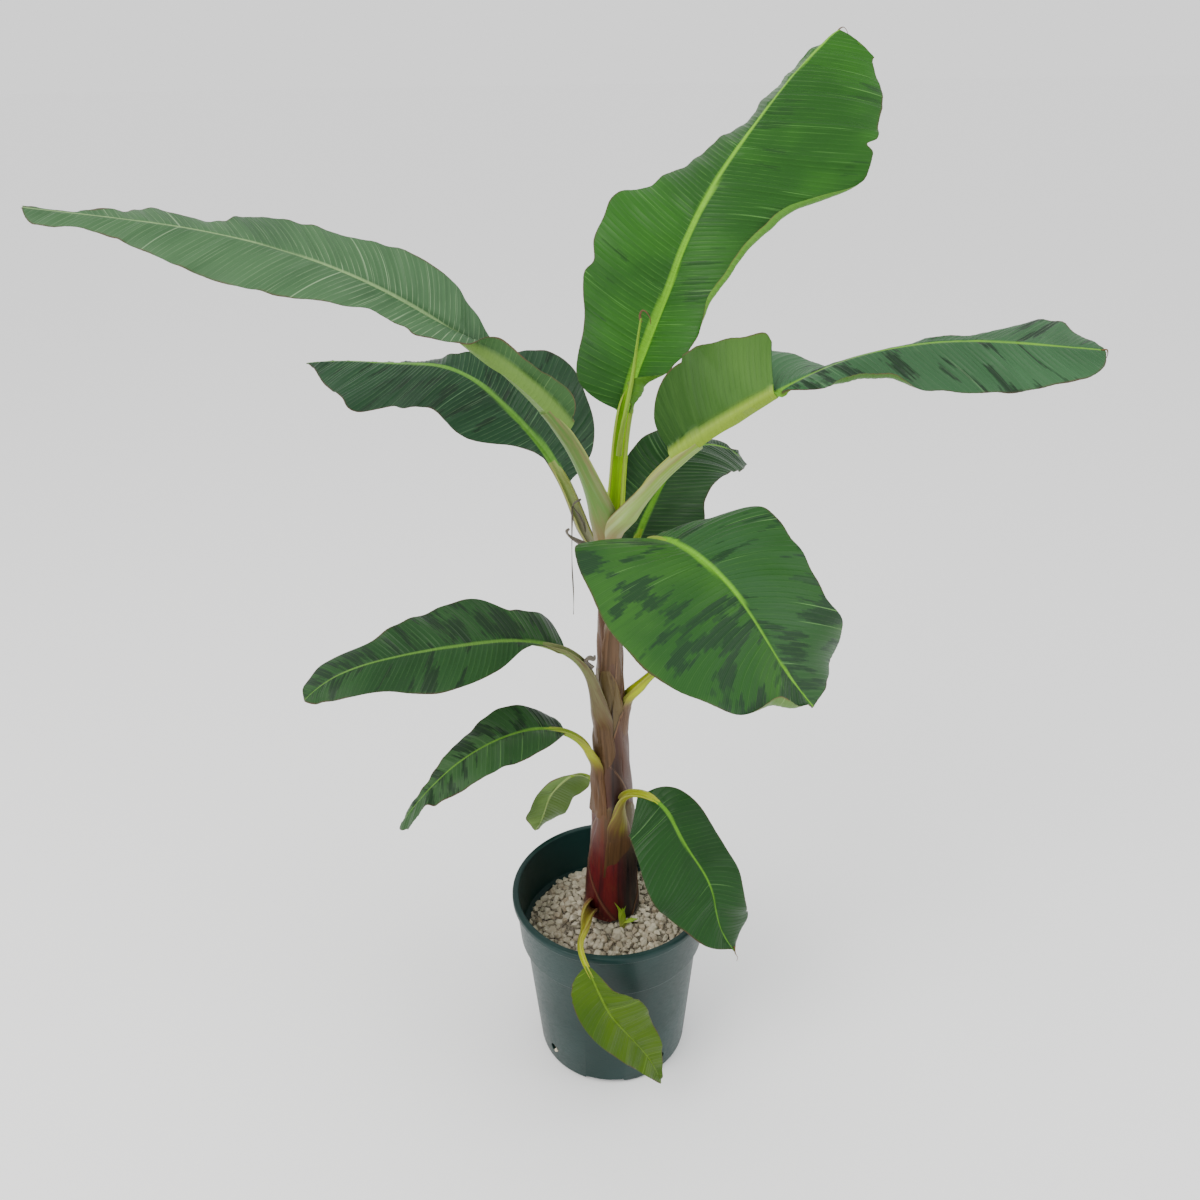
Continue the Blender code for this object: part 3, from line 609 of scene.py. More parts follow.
LOOKS = {
    "top_leaf": dict(
        wave=0.0035, clasp=(1.3, 0.6, 1.0), sheath=0, hugs=True,
        upper=dict(green=(0.019, 0.1, 0.007), dark=(0.011, 0.064, 0.006), blotch=0.015,
                   blotch_colour=(0.008, 0.046, 0.006), rib=(0.17, 0.42, 0.02), vein=(0.09, 0.25, 0.04),
                   lines=0.55, patch=(90, 14)),
        under=dict(green=(0.09, 0.24, 0.02), dark=(0.07, 0.2, 0.018)),
        stalk=dict(foot=(0.2, 0.27, 0.03), mid=(0.38, 0.66, 0.0), top=(0.22, 0.46, 0.01),
                   streak_amount=0.05),
        margin=(('left', 0.84, 0.045, -0.42), ('left', 0.7, 0.03, 0.28), ('left', 0.92, 0.02, 0.3),
                ('left', 0.36, 0.035, -0.14), ('left', 0.235, 0.025, 0.12), ('right', 0.957, 0.027, -0.42),
                ('right', 0.66, 0.012, 0.07), ('right', 0.32, 0.26, -0.15), ('right', 0.04, 0.04, -0.45)),
        rolls=(('right', 0.11, 0.62, 0.2, 0.005, 1), ('right', -0.05, 0.1, 0.62, 0.01, 1))),
    "left_long_leaf": dict(
        wave=0.003, ruffle=(0.005, 0.24, 0.11, -1), upper_rib=0.3, clasp=(1.5, 0.7, 1.0), sheath=0,
        hugs=True, opening=76,
        margin=(('left', 0.18, 0.05, 0.22), ('left', 0.94, 0.045, -0.38), ('left', 0.38, 0.03, 0.24),
                ('left', 0.3, 0.02, -0.28), ('right', 0.9, 0.045, 0.35), ('right', 0.68, 0.045, 0.33),
                ('right', 0.78, 0.03, -0.38), ('right', 0.58, 0.045, -0.2)),
        upper=dict(green=(0.047, 0.114, 0.046), dark=(0.027, 0.076, 0.029), blotch=0.0, lines=0.25,
                   base_lines=0.75, vein=(0.24, 0.36, 0.19), rib=(0.2, 0.32, 0.13), roughness=0.45),
        under=dict(green=(0.044, 0.11, 0.034), dark=(0.034, 0.09, 0.028), rib=(0.12, 0.22, 0.04)),
        stalk=dict(foot=(0.22, 0.15, 0.07), mid=(0.095, 0.19, 0.04), top=(0.07, 0.15, 0.028),
                   light=(0.21, 0.34, 0.14), edge=(0.38, 0.38, 0.1), streak=(0.2, 0.14, 0.07),
                   streak_amount=0.25)),
    "right_long_leaf": dict(
        wave=0.003, upper_rib=0.35, clasp=(1.5, 0.7, 1.0), sheath=0, hugs=True, opening=76, pleat=0.0009,
        upper=dict(green=(0.036, 0.106, 0.042), dark=(0.025, 0.08, 0.03), blotch=0.1, lines=0.3,
                   vein=(0.1, 0.19, 0.08), roughness=0.4),
        under=dict(green=(0.083, 0.19, 0.038), dark=(0.064, 0.156, 0.03), vein=(0.035, 0.095, 0.015),
                   lines=0.5, rib=(0.22, 0.33, 0.03), roughness=0.36, base=((0.026, 0.075, 0.016), 0.09)),
        stalk=dict(foot=(0.28, 0.19, 0.11), mid=(0.25, 0.37, 0.09), top=(0.2, 0.34, 0.04),
                   light=(0.38, 0.47, 0.23), edge=(0.36, 0.34, 0.09), streak=(0.24, 0.17, 0.09),
                   streak_amount=0.25, dry=(0.25, 0.72)),
        tears=(('right', 0.285, 0.2, 0.42, 1.08, 0.06),),
        margin=(('right', 0.285, 0.014, 0.22), ('left', 0.62, 0.045, 0.34), ('left', 0.98, 0.03, 0.3)),
        rolls=(('right', 0.33, 0.54, 0.32, 0.009, 1),)),
    "left_back_leaf": dict(
        wave=0.003, clasp=(1.3, 0.4, 1.0), sheath=0, hugs=True,
        upper=dict(green=(0.012, 0.046, 0.018), dark=(0.008, 0.032, 0.013), blotch=0.06,
                   vein=(0.08, 0.16, 0.07), rib=(0.1, 0.26, 0.03), lines=0.75, roughness=0.34),
        margin=(('right', 0.6, 0.03, 0.3), ('left', 0.62, 0.045, -0.12), ('left', 0.54, 0.03, 0.12)),
        stalk=dict(foot=(0.22, 0.22, 0.14), mid=(0.25, 0.26, 0.17), top=(0.22, 0.3, 0.08))),
    "right_back_leaf": dict(
        upper=dict(green=(0.016, 0.054, 0.016), dark=(0.01, 0.038, 0.012), lines=0.6, roughness=0.34)),
    "front_right_leaf": dict(
        wave=0.003,
        # The far green on its left half is painted shade and sheen.
        upper=dict(green=(0.027, 0.1, 0.013), dark=(0.015, 0.068, 0.011), far=(0.022, 0.072, 0.022),
                   blotch=0.135, lines=0.3, blotch_colour=(0.008, 0.03, 0.012), rib=(0.13, 0.36, 0.015),
                   scratches=0.6, patch=(60, 17)),
        under=dict(green=(0.11, 0.2, 0.05), dark=(0.09, 0.17, 0.045)),
        stalk=dict(foot=(0.12, 0.068, 0.036)),
        margin=(('right', 0.88, 0.1, -0.3), ('left', 0.14, 0.03, 0.3), ('right', 0.08, 0.03, 0.3)),
        rolls=(('right', 0.7, 1.1, 0.34, 0.0075, 1),)),
    "right_mid_leaf": dict(
        clasp=(1.8, 0.8, 1.9),
        stalk=dict(foot=(0.14, 0.085, 0.055), mid=(0.34, 0.4, 0.0), top=(0.24, 0.38, 0.0))),
    "left_mid_leaf": dict(
        clasp=(1.9, 0.7, 1.35), upper_rib=0.6, pleat=0.0004,
        upper=dict(blotch=0.11, green=(0.014, 0.054, 0.013), dark=(0.009, 0.038, 0.01), lines=0.2,
                   rib=(0.09, 0.21, 0.03)),
        margin=(('left', 0.14, 0.03, -0.45), ('right', 0.16, 0.03, 0.2), ('right', 0.96, 0.07, -0.17)),
        stalk=dict(foot=(0.1, 0.056, 0.026), mid=(0.13, 0.115, 0.055), top=(0.14, 0.18, 0.06),
                   edge=(0.2, 0.19, 0.09), streak=(0.09, 0.05, 0.028), streak_amount=0.5)),
    "left_low_leaf": dict(
        clasp=(1.7, 0.6, 1.1), upper_rib=0.6, pleat=0.0004,
        upper=dict(blotch=0.1, green=(0.03, 0.082, 0.024), dark=(0.018, 0.058, 0.017), lines=0.2,
                   rib=(0.1, 0.24, 0.025)),
        margin=(('left', 0.74, 0.03, 0.24), ('left', 0.84, 0.03, -0.24), ('right', 0.92, 0.11, -0.4)),
        stalk=dict(foot=(0.12, 0.06, 0.026), mid=(0.32, 0.34, 0.02), top=(0.2, 0.32, 0.02))),
    "back_small_leaf": dict(
        under=dict(green=(0.15, 0.24, 0.06), dark=(0.115, 0.2, 0.048), rib=(0.26, 0.36, 0.1), lines=0.25),
        stalk=dict(foot=(0.12, 0.08, 0.04))),
    "right_low_leaf": dict(
        clasp=(2.3, 0.8, 1.2), upper_rib=0.6, pleat=0.0004,
        upper=dict(green=(0.008, 0.046, 0.007), dark=(0.005, 0.032, 0.005), rib=(0.09, 0.25, 0.012),
                   lines=0.15, roughness=0.36),
        stalk=dict(foot=(0.09, 0.045, 0.018), mid=(0.17, 0.13, 0.035), top=(0.32, 0.38, 0.01),
                   streak=(0.11, 0.055, 0.02))),
    "basal_leaf": dict(
        sheath=0, upper_rib=0.45, pleat=0.0002, clasp=(2.0, 0.8, 1.7),
        upper=dict(green=(0.05, 0.104, 0.001), dark=(0.028, 0.072, 0.001), rib=(0.12, 0.22, 0.01),
                   vein=(0.12, 0.22, 0.01), lines=0.12),
        stalk=dict(foot=(0.22, 0.1, 0.05), mid=(0.38, 0.36, 0.05), top=(0.36, 0.44, 0.0),
                   streak=(0.16, 0.06, 0.03))),
}


def fine_half(surface, half, start, least, spread, look):
    """One half's points by vein and column, each point's distance out and its share of the way."""
    out = np.linspace(0, 1.3 * surface.widest(half), 600)[None, :]
    past = out > surface.width(surface.run(start, out, half), half)
    past[:, -1] = True
    reach = np.maximum(out[0, np.argmax(past, axis=1)], least)
    at = start[:, 0]
    uneven = 0.010 * waves(at * surface.length, look["seed"] + len(half), 5, 0.13, 0.04)
    reach = reach * (1 + uneven * smooth(at, 0, 0.1))
    for where, middle, across, depth in look["margin"]:
        if where == half:
            reach = reach * (1 - depth * bell(at, middle, across))
    tears = [tear[1:] for tear in look["tears"] if tear[0] == half]
    for place, _, _, before, after in tears:
        reach = reach * np.where((at < place) & (at > place - 0.2), before, 1)
        reach = reach * np.where(at >= place, 1 - 0.96 * bell(at, place, after), 1)
    out = reach[:, None] * spread
    run = surface.run(start, out, half)
    pose = None
    for place, low, high, _, _ in tears:
        pose = np.where(start < place, np.minimum(run, low), np.maximum(run, high))
    return surface.point(run, out, half, pose), SIDE[half] * out, SIDE[half] * spread + 0 * out


def fine_grid(surface, stations, least, look):
    """Vein rows from margin to margin, with each point's distance out and its share of the way."""
    start = np.linspace(0, 1, stations)[:, None]
    inner = (np.arange(INNER_COLUMNS) / INNER_COLUMNS) ** 1.3 * HEM_FROM
    spread = np.append(inner, np.linspace(HEM_FROM, 1, HEM_COLUMNS + 1))[None, :]
    left, right = (fine_half(surface, half, start, least, spread, look) for half in ("left", "right"))
    return [np.concatenate([a[:, :0:-1], b], axis=1) for a, b in zip(left, right)]


def rolled(grid, out, share, normal, start, look):
    """Curl stretches of a margin over, so that they show the other side."""
    for where, low, high, depth, radius, way in look["rolls"]:
        columns = np.nonzero(share[0] * SIDE[where] >= 0)[0]
        columns = columns[np.argsort(share[0, columns] * SIDE[where])]
        ease = 0.3 * (high - low)
        for row in np.nonzero((start > low) & (start < high))[0]:
            first = 1 - depth * between(start[row], low, low + ease, high - ease, high)
            away = share[row, columns] * SIDE[where]
            past = away > first
            if not past.any():
                continue
            near, at = sample(grid[row, columns], np.array([first - 0.03, first]), away)
            ahead = unit(at - near)
            face = sample(normal[row, columns], first, away)
            face = unit(face - ahead * (face @ ahead))
            turn = (away[past] - first) * abs(out[row, columns[-1]]) / radius
            c, s = np.cos(turn)[:, None], np.sin(turn)[:, None]
            grid[row, columns[past]] = at + radius * s * ahead + way * radius * (1 - c) * face
            normal[row, columns[past]] = c * face - way * s * ahead
    return grid, normal


def kept_inside(points):
    """Ease points back from the sides of the solids' box."""
    low, high = (np.array(corner) for corner in cad_box)
    for side, sign in ((high - BOX_CLEAR, 1), (low + BOX_CLEAR, -1)):
        past = np.maximum((points - side) * sign + BOX_EASE, 0)
        points = points - sign * (past - BOX_EASE * np.tanh(past / BOX_EASE))
    return points


def relief(run, out, share, rib, start, pleats, look):
    """How far pleats, puckers, waves and ruffles lift each point of a lamina."""
    away = np.abs(share)
    clear = smooth(np.abs(out), 0.6 * rib, 2.5 * rib)
    calm = smooth(start, 0, 0.03)[:, None] * smooth(1 - start, 0, 0.05)[:, None]
    pleat = 0.5 - np.abs(np.sin(math.pi * pleats * start))[:, None]
    lift = look["pleat"] * pleat * clear * (1 - 0.8 * away ** 4)
    # The two halves wave apart from each other.
    along = run + np.where(out < 0, 0.37, 0.0)
    seed = look["seed"]
    lift = lift + 0.0012 * clear * waves(along, seed + 3, 4, 0.045, 0.018) * calm
    lift = lift + look["wave"] * away ** 2.5 * waves(along, seed, 4, 0.16, 0.05) * calm
    height, end, length, half = look["ruffle"]
    where = between(start, 0, 0.05, end, end + 0.12)[:, None] * np.where(out * half >= 0, 1, 0)
    return lift + height * away ** 2 * waves(along, seed + 7, 3, length, length / 2) * where


def lamina_faces(out, start, rib, look):
    """Faces of the upper and lower side and of the rims that join them, with each one's material."""
    rows, across = out.shape
    cell = np.arange(rows * across).reshape(rows, across)
    kept = np.ones((rows - 1, across - 1), bool)
    for where, place, *_ in look["tears"]:
        row = np.nonzero(start < place)[0][-1]
        beyond = out[row] * SIDE[where] > 1.2 * rib[row]
        kept[row, beyond[:-1] & beyond[1:]] = False
    quads = [cell[:-1, :-1], cell[:-1, 1:], cell[1:, 1:], cell[1:, :-1]]
    upper = np.stack(quads, -1)[kept]
    lower = upper[:, ::-1] + cell.size
    fenced = np.pad(kept, 1)
    walls = []
    for k, (down, along) in enumerate(((0, 1), (1, 2), (2, 1), (1, 0))):
        open_side = kept & ~fenced[down:down + rows - 1, along:along + across - 1]
        a, b = quads[k][open_side], quads[(k + 1) % 4][open_side]
        walls.append(np.stack([b, a, a + cell.size, b + cell.size], -1))
    walls = np.concatenate(walls)
    index = [0] * len(upper) + [1] * len(lower) + [0] * len(walls)
    return np.concatenate([upper, lower, walls]).tolist(), index


def fine_blade(name, spec, look):
    """Lamina with its midrib, from margin to margin, as a thin closed body."""
    surface = BladeSurface(spec, 301)
    pleats = round(surface.length / VEIN_STEP)
    stations = ROWS_PER_VEIN * pleats + 1
    start = np.linspace(0, 1, stations)
    radius = np.maximum(profile(spec["rib"], start) * spec["radii"][-1] / 1000, 0.0007)
    grid, out, share = fine_grid(surface, stations, np.maximum(radius, 0.0012), look)
    rib = radius[:, None]
    run = (start * surface.length)[:, None] + 0 * out
    normal = unit(np.cross(np.gradient(grid, axis=1), np.gradient(grid, axis=0)))
    grid = grid + normal * relief(run, out, share, rib, start, pleats, look)[:, :, None]
    grid, normal = rolled(grid, out, share, normal, start, look)
    grid = kept_inside(grid)

    thick = LAMINA * (1 - 0.5 * np.abs(share) ** 4)
    groove = RIB_GROOVE * rib * bell(out, 0, 0.55 * rib)
    keel = 0.9 * rib * np.sqrt(np.clip(1 - (out / rib) ** 2, 0, 1))
    top = grid + normal * (thick / 2 - groove)[:, :, None]
    low = grid - normal * (thick / 2 + keel)[:, :, None]
    faces, index = lamina_faces(out, start, radius, look)

    ribs = [1 - smooth(np.abs(out), 0.8 * scale * rib, 1.1 * scale * rib)
            for scale in (look["upper_rib"], 1.0)]
    width = np.abs(np.where(out < 0, out[:, [0]], out[:, [-1]]))
    edge = np.maximum(1 - smooth(width - np.abs(out), 0.0, DRY_EDGE), smooth(start, 0.985, 1.0)[:, None])
    fields = {"rib": ribs, "edge": [edge, edge]}
    uv = vein_uv(run, out)
    return piece(name + "_lamina", [top, low], faces, look["materials"], (name + "_blade",), index,
                 [uv, uv], fields)


def stalk_outline(points, opening):
    """Round section with a channel on its upper side, as unit distances along side and up, with its rims."""
    turn = np.linspace(0, 1, points, endpoint=False)
    angle = np.radians(90 - opening - (360 - 2 * opening) * turn / STALK_BACK)
    inner = np.clip((turn - STALK_BACK) / (1 - STALK_BACK), 0, 1)
    rim_x, rim_y = math.sin(math.radians(opening)), math.cos(math.radians(opening))
    dip = rim_y - (rim_y + 0.25) * np.sin(math.pi * inner) ** 1.2
    back = turn < STALK_BACK
    x = np.where(back, np.cos(angle), -0.92 * rim_x * np.cos(math.pi * inner))
    y = np.where(back, np.sin(angle), dip)
    rims = sum(bell(turn, at, 0.022) for at in (0, STALK_BACK, 1))
    band = bell(turn, 0.07, 0.03) + bell(turn, 0.65, 0.03)
    return np.stack([x, y], -1), np.clip(rims, 0, 1), band, turn


def hugging_stem(rings, foot):
    """The rings of a stalk that rises out of the crown, drawn in so that its foot lies on the stem."""
    x, y, height = rings[..., 0] - STEM_X, rings[..., 1] - STEM_Y, rings[..., 2]
    away, heading = np.hypot(x, y), np.arctan2(y, x)
    limit = stem_surface(np.minimum(height, STEM_TOP), heading) - HUG_SUNK
    limit = limit + HUG_PROUD * smooth(height - foot, 0, 0.008)
    freed = smooth(height - foot, 0.004, HUG_HEIGHT)
    away = np.where(away > limit, limit + (away - limit) * freed, away)
    return upright(away, heading, height, STEM_X, STEM_Y)


def fine_stalk(name, spec, look):
    """Channelled petiole: below, it spreads into a sheath on the stem, and its end runs into the midrib."""
    share = spec["blade_from"] / spec["length"]
    reach = share + STALK_INTO / spec["length"]
    path = cut_path(limb_path(spec, 641), 0, reach, STALK_RINGS)
    along = np.linspace(0, 1, STALK_RINGS) * reach / share
    tangent, up, side = frames(path, np.full(STALK_RINGS, math.radians(spec["roll"][0])))
    radius = profile(spec["radii"], np.clip(along, 0, 1)) / 1000
    section, rims, band, turn = stalk_outline(STALK_SIDES, look["opening"])
    # The petiole shows from where it comes out of the stem.
    sheath = look["sheath"]
    away = np.hypot(path[:, 0] - STEM_X, path[:, 1] - STEM_Y)
    leaving = int(np.argmax(away > stem_radius(path[:, 2]) - 0.2 * radius)) if sheath else 0
    shown = np.clip((along - along[leaving]) / (1 - along[leaving]), 0, 1)
    # Its upper side is carried back from the blade and turned on the way to face the stem at the foot.
    for k in range(int(np.argmax(along > 1)), -1, -1):
        up[k] = unit(up[k + 1] - tangent[k] * (up[k + 1] @ tangent[k]))
    side = np.cross(tangent, up)
    inward = np.array([STEM_X - path[leaving, 0], STEM_Y - path[leaving, 1], 0])
    twist = math.atan2(inward @ side[leaving], inward @ up[leaving]) * (1 - smooth(shown, 0, 0.8))[:, None]
    up, side = up * np.cos(twist) + side * np.sin(twist), side * np.cos(twist) - up * np.sin(twist)
    foot, clasped, deep = look["clasp"]
    held = 1 - smooth(shown, 0, clasped)[:, None]
    sunk = smooth(along, 0.97, reach / share)[:, None]
    wide = section[:, 0] * radius[:, None] * (1 + (foot - 1) * held)
    tall = section[:, 1] * radius[:, None] * (1 + (deep - 1) * held) + (wide ** 2 / 0.044) * held
    tall = np.where(tall > 0, tall * (1 - 0.97 * sunk), tall)
    wide, tall = ((x * (1 - 0.12 * sunk))[..., None] for x in (wide, tall))
    rings = path[:, None] + wide * side[:, None] + tall * up[:, None]
    if look["hugs"]:
        rings = hugging_stem(rings, path[0, 2])

    # There its rings give way to those of a sheath that lies on the stem.
    if sheath:
        step = spec["blade_from"] / share * reach / (STALK_RINGS - 1)
        lower = np.linspace(-sheath, 0, SHEATH_RINGS, endpoint=False)
        s = np.concatenate([lower, np.arange(STALK_RINGS - leaving) * step])
        height = np.concatenate([path[leaving, 2] + lower, path[leaving:, 2]])[:, None]
        ahead = math.atan2(path[leaving, 1] - STEM_Y, path[leaving, 0] - STEM_X)
        below = np.clip(-s / sheath, 0, 1)[:, None]
        half = radius[leaving] * (foot + 0.9 * below ** 0.7)
        proud = 0.6 * radius[leaving] * deep * (1 - below) ** 1.6 - 0.0015 * below
        heading = ahead - section[:, 0] * half / stem_radius(height)
        crest = proud * np.sqrt(np.clip(1 - section[:, 0] ** 2, 0, 1))
        out = stem_surface(height, heading) + np.where(turn < STALK_BACK, crest, -0.003)
        made = upright(out, heading, height, STEM_X, STEM_Y)
        weight = smooth(s, 0, SHEATH_BLEND)[:, None, None]
        limb = np.concatenate([np.repeat(rings[leaving:leaving + 1], SHEATH_RINGS, axis=0), rings[leaving:]])
        rings = made * (1 - weight) + limb * weight
        along = np.concatenate([lower / spec["blade_from"] + along[leaving], along[leaving:]])
        shown = np.concatenate([np.zeros(SHEATH_RINGS), shown[leaving:]])
    count = len(along)
    fields = {"along": np.repeat(shown, STALK_SIDES), "edge": np.tile(rims, count),
              "band": np.tile(band, count)}
    uv = vein_uv((along * spec["blade_from"])[:, None], turn * 0.06)
    return piece(name + "_stalk", rings, loop_faces(count, STALK_SIDES), [look["stalk"]],
                 (name + "_petiole",), uv=uv, fields=fields, sharp=70)


def make_leaves():
    for number, (name, spec) in enumerate(LEAVES.items()):
        look = {**LOOK, **LOOKS[name]}
        look["seed"] = seed = 11 + 17 * number
        look["materials"] = [blade_material(name + "_upper_side", seed, **{**UPPER, **look["upper"]}),
                             blade_material(name + "_under_side", seed + 5, **{**UNDER, **look["under"]})]
        look["stalk"] = stalk_material(name + "_stalk", seed, **{**STALK, **look["stalk"]})
        fine_blade(name, spec, look)
        fine_stalk(name, spec, look)


make_leaves()


# ---------------------------------------------------------------- stem
# Stretches of the stem's foot that are red, black or lilac: the heading of each one's middle and how far
# it spreads, in degrees.
RED_SIDE, BLACK_SIDE, LILAC_SIDE, LILAC_FRONT = (-112, 75), (-35, 60), (-165, 60), (-20, 50)
# The long dark line down the front: its heading at a height, its slant in degrees a metre and its width.
SEAM_HEADING, SEAM_HEIGHT, SEAM_SLANT, SEAM_WIDTH = -86, 0.44, 40, 4.5
SEAM_SHADE = (-76, 26)


def stem_material():
    """Sheaths from pinkish brown and olive above to a dark red foot that is nearly black on one side."""
    g = Graph("stem_sheaths", 0.42, 0.3)
    at = g.vein_map(3.1, 1.7, 0)[1]
    fibre = g.grain(at, 900, 9, 3, 0.6)
    band = g.grain(at, 150, 7, 3, 0.6)
    patch = g.grain(at, 80, 26, 4, 0.65)
    brown = g.lay((0.070, 0.028, 0.011), (0.125, 0.070, 0.038), g.field("height"), 0.40, 0.66)
    colour = g.lay(brown, (0.050, 0.013, 0.008), band, 0.38, 0.60, 0, 0.75)
    colour = g.lay(colour, (0.105, 0.078, 0.022), g.field("olive"), 0.0, 1.0, 0, 0.85)
    colour = g.lay(colour, (0.15, 0.09, 0.05), fibre, 0.5, 0.8, 0, 0.3)
    colour = g.mark(colour, (0.16, 0.10, 0.085), "lilac", g.step(band, 0.3, 0.6, 0.2, 0.7))
    colour = g.lay(colour, (0.040, 0.014, 0.010), patch, 0.56, 0.72, 0, 0.7)
    red = g.lay((0.115, 0.009, 0.010), (0.048, 0.005, 0.008), band, 0.35, 0.65)
    colour = g.mark(colour, red, "red", g.step(patch, 0.25, 0.5, 0.75, 1))
    colour = g.mark(colour, (0.012, 0.007, 0.008), "black", g.step(band, 0.25, 0.6, 0.7, 1))
    colour = g.mark(colour, (0.20, 0.11, 0.055), "edge", 0.8)
    colour = g.mark(colour, (0.018, 0.008, 0.006), "seam", 0.9)
    return g.finish(colour, g.step(patch, 0.3, 0.7, 0.36, 0.50), g.bump(fibre, 0.0005, 0.7))


def around(turn, heading, spread):
    """1 at a heading in degrees round the stem, falling to 0 at spread degrees from it."""
    away = (np.degrees(turn) - heading + 180) % 360 - 180
    return smooth(spread - np.abs(away), 0, 0.6 * spread)


def make_stem():
    along = np.linspace(0, 1, STEM_RINGS)
    height = (PLANT_FOOT + along * (STEM_TOP - PLANT_FOOT))[:, None]
    turn = full_circle(STEM_AROUND)[None, :]
    marks = stem_sheaths(height, turn)
    red = around(turn, *RED_SIDE) * (1 - smooth(height, 0.25, 0.44)) + 0.5 * (1 - smooth(height, 0.22, 0.32))
    black = np.maximum(0.6 * marks["black"], around(turn, *BLACK_SIDE) * (1 - smooth(height, 0.26, 0.40)))
    lilac = around(turn, *LILAC_SIDE) * between(height, 0.24, 0.30, 0.33, 0.40)
    lilac = np.maximum(lilac, 0.6 * around(turn, *LILAC_FRONT) * between(height, 0.36, 0.42, 0.47, 0.50))
    # One sheath's margin shows as a long dark line down the front, with a dark stretch beside it.
    line = around(turn, SEAM_HEADING + SEAM_SLANT * (height - SEAM_HEIGHT), SEAM_WIDTH)
    marks["seam"] = np.maximum(marks["seam"], line * between(height, 0.34, 0.37, 0.50, 0.53))
    black = np.maximum(black, 0.7 * around(turn, *SEAM_SHADE) * between(height, 0.30, 0.34, 0.42, 0.50))
    lean = profile(STEM_LEAN, along)[:, None]
    points = upright(stem_surface(height, turn), turn, height, STEM_X + lean, STEM_Y)
    fields = {key: marks[key] for key in ("olive", "edge", "seam")}
    fields.update(height=height + 0 * turn, red=np.clip(red, 0, 1), black=np.clip(black, 0, 1), lilac=lilac)
    piece("stem_sheaths", points, loop_faces(STEM_RINGS, STEM_AROUND), [stem_material()], ("stem",),
          uv=vein_uv(turn * 0.03, height), fields=fields, sharp=60)


make_stem()


# ---------------------------------------------------------------- pot
COLLAR_FOOT = 0.180             # height where the collar starts
FOOT_RADIUS, WAIST_RADIUS = 0.0975, 0.1125
POT_AROUND = 144
DRAIN_TURN = 218.0              # heading of the first of four drain holes
DRAIN_HEIGHT = 0.026
DRAIN_RADIUS = 0.0065
DRAIN_REACH = 0.0997            # distance of the holes from the pot's axis
DRAIN_DEPTH = 0.006             # how far a hole's cutter reaches in and out
DRAIN_SIDES = 24
NOTCH_SIZE = (0.016, 0.055, 0.014)      # each notch between two holes, in the pot's foot
BLOCK_FACES = ((3, 2, 1, 0), (4, 5, 6, 7), (0, 1, 5, 4), (1, 2, 6, 5), (2, 3, 7, 6), (3, 0, 4, 7))
POT_OUTLINE = (                 # radius, height and fillet of each corner, from the base round to the floor
    (0.004, 0.0, 0), (0.060, 0.0, 0), (FOOT_RADIUS, 0.0, 0.006),
    (FOOT_RADIUS + (WAIST_RADIUS - FOOT_RADIUS) * 0.10 / COLLAR_FOOT, 0.10, 0),
    (WAIST_RADIUS, COLLAR_FOOT, 0.0012), (0.1185, 0.1815, 0.0022), (0.1228, 0.2405, 0.0012),
    (0.1270, 0.2415, 0.0012), (0.1270, 0.2500, 0.0028), (0.1190, 0.2500, 0.0020), (0.1155, 0.1850, 0.001),
    (0.1095, 0.1835, 0.001), (0.0957, 0.0145, 0.001), (0.0835, 0.0140, 0), (0.0835, 0.004, 0),
    (0.004, 0.004, 0),
)


def pot_material():
    g = Graph("pot_green_plastic", 0.40, 0.20)
    at = g.spot()
    grain = g.noise(g.stretch(at, (1, 1, 6)), 160, 3, 0.6)
    scuff = g.noise(g.stretch(at, (1, 1, 22)), 34, 4, 0.7)
    colour = g.lay((0.004, 0.020, 0.017), (0.008, 0.029, 0.026), g.noise(at, 9, 3, 0.55), 0.35, 0.65)
    colour = g.lay(colour, (0.04, 0.062, 0.060), scuff, 0.60, 0.75, 0, 0.25)
    return g.finish(colour, g.step(grain, 0.3, 0.7, 0.32, 0.46), g.bump(grain, 0.0002, 0.5))


def rounded(corners, steps=5):
    """Outline with each (radius, height, fillet) corner turned into a small curve."""
    made = [corners[0][:2]]
    for before, here, after in zip(corners, corners[1:], corners[2:]):
        p, size = np.array(here[:2]), here[2]
        if size == 0:
            made.append(tuple(p))
            continue
        a, b = (unit(np.array(other[:2]) - p) * size for other in (before, after))
        made += [tuple(p + a * (1 - t) ** 2 + b * t ** 2) for t in np.linspace(0, 1, steps)]
    made.append(corners[-1][:2])
    return np.array(made)


def cut(body, name, points, faces, turn, reach, height):
    """Cut a shape out of a body, at a heading in degrees and a distance from its axis."""
    mesh = bpy.data.meshes.new(name)
    mesh.from_pydata(points, [], faces)
    angle = math.radians(turn)
    tool = placed(name, mesh, (reach * math.cos(angle), reach * math.sin(angle), height))
    tool.rotation_euler.z = angle
    body.modifiers.new(name, "BOOLEAN").object = tool
    bpy.context.view_layer.objects.active = body
    with bpy.context.temp_override(object=body):
        bpy.ops.object.modifier_apply(modifier=name)
    bpy.data.objects.remove(tool)


